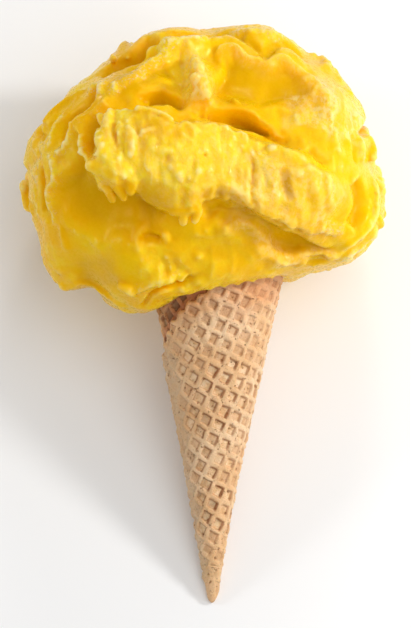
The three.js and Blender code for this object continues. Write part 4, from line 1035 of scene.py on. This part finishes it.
def wafer_sheet():
    er = np.array([math.cos(GRID_TURN), -math.sin(GRID_TURN)])
    ec = np.array([math.sin(GRID_TURN), math.cos(GRID_TURN)])
    K = len(LINES)
    span = np.arange(-30, 31)
    line = (span[:, None] * PITCH_W + LINES[None]).ravel()
    n = len(line)
    iu = np.repeat(np.arange(len(span)), K)
    U, V = np.meshgrid(line, line, indexing="ij")
    IU, IV = np.meshgrid(iu, iu, indexing="ij")
    LU = U - span[IU] * PITCH_W
    LV = V - span[IV] * PITCH_W
    # every cell is a little different: size, place and depth of its recess
    rng = np.random.RandomState(11)
    c = len(span)
    size_u, size_v = (1.0 + 0.2 * (rng.rand(c, c) * 2 - 1) for _ in range(2))
    off_u, off_v = (0.22 * (rng.rand(c, c) * 2 - 1) for _ in range(2))
    deep = 1.0 + 0.45 * (rng.rand(c, c) * 2 - 1)
    inner = (np.abs(LU) <= 1.63) & (np.abs(LV) <= 1.63)
    du = np.where(inner, LU * (size_u[IU, IV] - 1) + off_u[IU, IV], 0)
    dv = np.where(inner, LV * (size_v[IU, IV] - 1) + off_v[IU, IV], 0)
    centre = CELL0 + (span[IU] * PITCH_W)[..., None] * er + (span[IV] * PITCH_W)[..., None] * ec
    P = (CELL0 + (U + du)[..., None] * er + (V + dv)[..., None] * ec).reshape(-1, 2)
    C = centre.reshape(-1, 2)
    flat3 = np.column_stack([P, np.zeros(len(P))]).astype(np.float32)
    P = P + np.stack([noise(flat3, 11.0, k) * 0.35 + noise(flat3, 2.0, k + 3) * 0.16 for k in (1, 2)], 1)
    # region of the sheet: the disc, less what is wound in under the first turn
    rel = P - DISC_C
    ang = np.arctan2(rel[:, 1], rel[:, 0])
    edge_r = DISC_R + 0.6 * np.sin(ang * DISC_R / 4.83 * 2 * math.pi) + 0.5 * noise(flat3, 5.0, 4)
    inside_by = edge_r - np.hypot(rel[:, 0], rel[:, 1])
    l = np.hypot(P[:, 0], P[:, 1])
    a = turns(P)
    # the end that is wound in reaches as high as the rest
    inside_by = np.where(a > 0.85, np.maximum(inside_by, np.minimum(112.5 - l, 5.0)), inside_by)
    ok = (a < 1.2) & (l > 12.5)
    idx = np.arange(n * n).reshape(n, n)
    q = np.stack([idx[:-1, :-1], idx[1:, :-1], idx[1:, 1:], idx[:-1, 1:]], -1).reshape(-1, 4)
    q = q[ok[q].all(1) & (inside_by[q].mean(1) > 0.0)]
    used = np.unique(q)
    # edge vertices are pulled onto the disc's edge
    over = used[(inside_by[used] < 0.12) & (a[used] < 0.85)]
    P[over] = DISC_C + rel[over] * ((edge_r[over] - 0.02) / np.hypot(rel[over, 0], rel[over, 1]))[:, None]
    d = np.clip(inside_by, 0, 50)
    az = np.degrees(np.arctan2(P[:, 0], P[:, 1]) / SIN)
    azc = np.degrees(np.arctan2(C[:, 0], C[:, 1]) / SIN)
    lc = np.hypot(C[:, 0], C[:, 1])
    worn = ss((-azc - 38) / 16) * ss((azc + 150) / 25) * ss((97 - lc) / 8)
    c3 = np.column_stack([C, np.zeros(len(C))]).astype(np.float32)
    # faint: the lit right side, where the recesses are made shallower and their painted shadow weaker
    faint = ss((azc - 12) / 30) * ss((150 - azc) / 40)
    depth = 0.85 * deep[IU, IV].ravel() * (1 - 0.75 * worn) * ss((d - 0.7) / 1.5) * ss((lc - 8) / 34)
    depth *= (1 - 0.45 * ss(noise(c3, 13.0, 5) * 1.6 - 0.1)) * (1 - 0.4 * faint)
    m = np.maximum(np.abs(LU), np.abs(LV)).ravel()
    recess = 1 - ss((m - 1.2) / 0.42)
    ridge = ss((m - 1.55) / 0.5)
    mn = np.minimum(np.abs(LU), np.abs(LV)).ravel()
    pad = ridge * (1 - ss((mn - 0.4) / 1.5))
    # painted shadow along the upper and right walls of each recess, the side away from the key light
    shade = (ss((np.maximum(LU, LV).ravel() - 0.86) / 0.34) * (1 - ss((m - 1.5) / 0.4)) * np.clip(depth / 0.7, 0, 1) * (1 - 0.45 * faint))
    P3 = np.column_stack([P, np.zeros(len(P))]).astype(np.float32)
    grain = 0.08 * noise(P3, 1.7, 2) + 0.05 * noise(P3, 0.95, 3)
    bubbly = worn * (0.26 * noise(P3, 2.1, 6) + 0.20 * noise(P3, 1.3, 7))
    puff = (0.26 * noise(P3, 3.4, 0) + 0.12 * noise(P3, 1.6, 5)) * (1 - recess) + 0.30 * pad
    lift = -depth * recess * (1 - 0.15 * (1 + noise(P3, 1.9, 1))) + puff + grain + bubbly
    lift -= 0.55 * (1 - ss(d / 0.9))
    lift += 0.45 * (1 - ss(np.clip(a, 0, 1) / 0.035)) * ss((d - 0.2) / 1.5)
    top = roll(P, lift)
    bottom = roll(P, np.full(len(P), -SHEET + 0.12) * ss((l * COS - TIP_Z) / 60 + 0.1))
    remap = np.full(n * n, -1, np.int64)
    remap[used] = np.arange(len(used))
    q = remap[q]
    N = len(used)
    e = np.vstack([q[:, [0, 1]], q[:, [1, 2]], q[:, [2, 3]], q[:, [3, 0]]])
    key = np.sort(e, 1)
    _, first, count = np.unique(key[:, 0] * N + key[:, 1], return_index=True, return_counts=True)
    rim = e[first[count == 1]]
    walls = np.stack([rim[:, 1], rim[:, 0], rim[:, 0] + N, rim[:, 1] + N], 1)
    verts = np.vstack([top[used], bottom[used]])
    faces = np.vstack([q, q[:, ::-1] + N, walls])
    zero = np.zeros(N)
    attrs = dict(
        recess=np.concatenate([(recess * np.clip(depth / 0.7, 0, 1))[used], zero]),
        shade=np.concatenate([shade[used], zero]),
        turn=np.concatenate([np.clip(a[used], 0, 1.1), zero + 1]),
        worn=np.concatenate([worn[used], zero]),
        soak=np.concatenate([(ss((l * COS - 94 + 5 * noise(P3, 9.0, 1)) / 14))[used], zero]))
    return verts, faces, attrs


def wafer_tip():
    """The pinched, crumpled end, with a small curl of sheet on its right."""
    rows, cols = 34, 40
    z = TIP_Z + (18.0 - TIP_Z) * np.linspace(0, 1, rows) ** 1.5
    az = np.arange(cols) / cols * 2 * math.pi
    Z, A = np.meshgrid(z, az, indexing="ij")
    t = np.clip((Z - TIP_Z) / TIP_ROUND, 0, 1)
    R = TAN * Z * np.sqrt(1 - (1 - t) ** 2) - 0.30 * ss((Z - 12) / 3)
    # the curl: the disc's edge stands off as a small ear
    d = (np.degrees(A) - 62 + 4 * (Z - 10)) / 30
    ear = np.exp(-((Z - 10.0) / 2.0) ** 2) * (ss(d * 3 + 0.5) * (1 - ss((d - 1.6) / 1.2)))
    slot = np.exp(-((Z - 10.0) / 1.7) ** 2) * np.exp(-((np.degrees(A) - 48 + 4 * (Z - 10)) / 9) ** 2)
    R = R + 0.42 * ear - 0.6 * slot
    pts = np.stack([R * np.sin(A), -R * np.cos(A), Z], -1).reshape(-1, 3)
    pts32 = pts.astype(np.float32)
    k = ((Z - TIP_Z) / 1.5).clip(0, 1).ravel()
    out = pts * np.array([1, 1, 0])
    out /= np.linalg.norm(out, axis=1, keepdims=True) + 1e-6
    pts = pts + out * ((0.16 * noise(pts32, 2.6, 1) + 0.09 * noise(pts32, 1.3, 2)) * k)[:, None]
    idx = np.arange(rows * cols).reshape(rows, cols)
    nxt = np.roll(idx, -1, 1)
    q = np.stack([idx[:-1], nxt[:-1], nxt[1:], idx[1:]], -1).reshape(-1, 4)
    n = rows * cols
    pts = np.vstack([pts, [[0, 0, TIP_Z - 0.05]], [[0, 0, 18.0]]])
    low = np.stack([nxt[0], idx[0], np.full(cols, n)], 1)
    high = np.stack([idx[-1], nxt[-1], np.full(cols, n + 1)], 1)
    return pts, q, np.vstack([low, high])


def grounded(v):
    """Laid down, with nothing below the ground."""
    v = lay(v)
    v[:, 2] = np.maximum(v[:, 2], 0.0)
    return v


_wv, _wf, _wa = wafer_sheet()
_tv, _tq, _tt = wafer_tip()
wafer_mat = wafer_material()
wafer = mesh_object("wafer_sheet", grounded(_wv), _wf, wafer_mat)
for k, v in _wa.items():
    at = wafer.data.attributes.new(k, "FLOAT", "POINT")
    at.data.foreach_set("value", v.astype(np.float32))
tip_mesh = bpy.data.meshes.new("wafer_tip")
tip_mesh.from_pydata([tuple(c) for c in grounded(_tv)], [], [tuple(map(int, f)) for f in _tq] + [tuple(map(int, f)) for f in _tt])
tip_mesh.polygons.foreach_set("use_smooth", np.ones(len(tip_mesh.polygons), bool))
wafer_tip_o = bpy.data.objects.new("wafer_tip", tip_mesh)
bpy.context.scene.collection.objects.link(wafer_tip_o)
tip_mesh.materials.append(wafer_mat)
for k, v in dict(recess=0.0, shade=0.0, turn=0.4, worn=0.2, soak=0.0).items():
    at = tip_mesh.attributes.new(k, "FLOAT", "POINT")
    at.data.foreach_set("value", np.full(len(tip_mesh.vertices), v, np.float32))
for o in (wafer, wafer_tip_o):
    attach(o, "root")
    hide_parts("waffle_cone")
print("wafer", len(_wv), len(_wf), round(time.time() - _t0, 1), "s")

# ------------------------------------------------------------------ stage
floor_mesh = bpy.data.meshes.new("floor")
floor_mesh.from_pydata([(-3, -3, 0), (3, -3, 0), (3, 3, 0), (-3, 3, 0)], [], [(0, 1, 2, 3)])
floor = bpy.data.objects.new("floor", floor_mesh)
bpy.context.scene.collection.objects.link(floor)
floor_mat = bpy.data.materials.new("floor")
floor_mat.use_nodes = True
floor_mat.node_tree.nodes["Principled BSDF"].inputs["Base Color"].default_value = (0.9, 0.9, 0.9, 1)
floor_mesh.materials.append(floor_mat)


def up_to_row(v):
    """An upright direction in the row's frame."""
    x, y, z = v
    return Vector((x, y * SB + z * CB, -y * CB + z * SB))


def area(name, where, target, size, power, color=(1, 1, 1)):
    data = bpy.data.lights.new(name, "AREA")
    data.shape = "DISK"
    data.size = size
    data.energy = power
    data.color = color
    o = bpy.data.objects.new(name, data)
    bpy.context.scene.collection.objects.link(o)
    o.location = where
    o.rotation_mode = "QUATERNION"
    o.rotation_quaternion = (Vector(target) - Vector(where)).to_track_quat("-Z", "Y")
    return o


mid = Vector(lay(np.array([[0.0, -5.0, 130.0]]))[0])
# directions to the lights as in the picture: right, up, towards the viewer
LIGHTS = [("key", (0.85, 0.34, 0.5), 0.6, 0.10, 1.75), ("low", (0.8, -0.35, 0.4), 0.6, 0.12, 0.5), ("side", (-0.9, 0.2, 0.4), 0.7, 0.16, 0.9), ("top", (0.1, 1.0, 0.35), 0.7, 0.14, 0.6), ("front", (0.4, 0.1, 1.0), 1.1, 1.0, 4.0)]
for name, (r, u, f), dist, size, power in LIGHTS:
    d = up_to_row((r, -f, u)).normalized()
    area(name, mid + d * dist, mid, size, power)

world = bpy.data.worlds.new("world")
bpy.context.scene.world = world
world.use_nodes = True
world.node_tree.nodes["Background"].inputs["Color"].default_value = (1, 1, 1, 1)
world.node_tree.nodes["Background"].inputs["Strength"].default_value = 0.42

# ------------------------------------------------------------------ camera
DIST = 1.2
cx, cz = from_px(205.5, 314)
look = Vector(lay(np.array([[cx, 0.0, cz]]))[0])
xr, zr, back = up_to_row((1, 0, 0)), up_to_row((0, 0, 1)), up_to_row((0, -1, 0))
right = xr * math.cos(LEAN) + zr * math.sin(LEAN)
up = -xr * math.sin(LEAN) + zr * math.cos(LEAN)
cam_data = bpy.data.cameras.new("camera")
cam_data.sensor_width = 36
cam_data.lens = 36 * DIST / (628 * MM_PER_PX / 1000)
cam_data.clip_start, cam_data.clip_end = 0.1, 10
cam = bpy.data.objects.new("camera", cam_data)
bpy.context.scene.collection.objects.link(cam)
m = Matrix((right, up, back)).transposed().to_4x4()
m.translation = look + back * DIST
cam.matrix_world = m
bpy.context.scene.camera = cam
bpy.context.scene.view_settings.view_transform = "Standard"

bpy.context.view_layer.update()
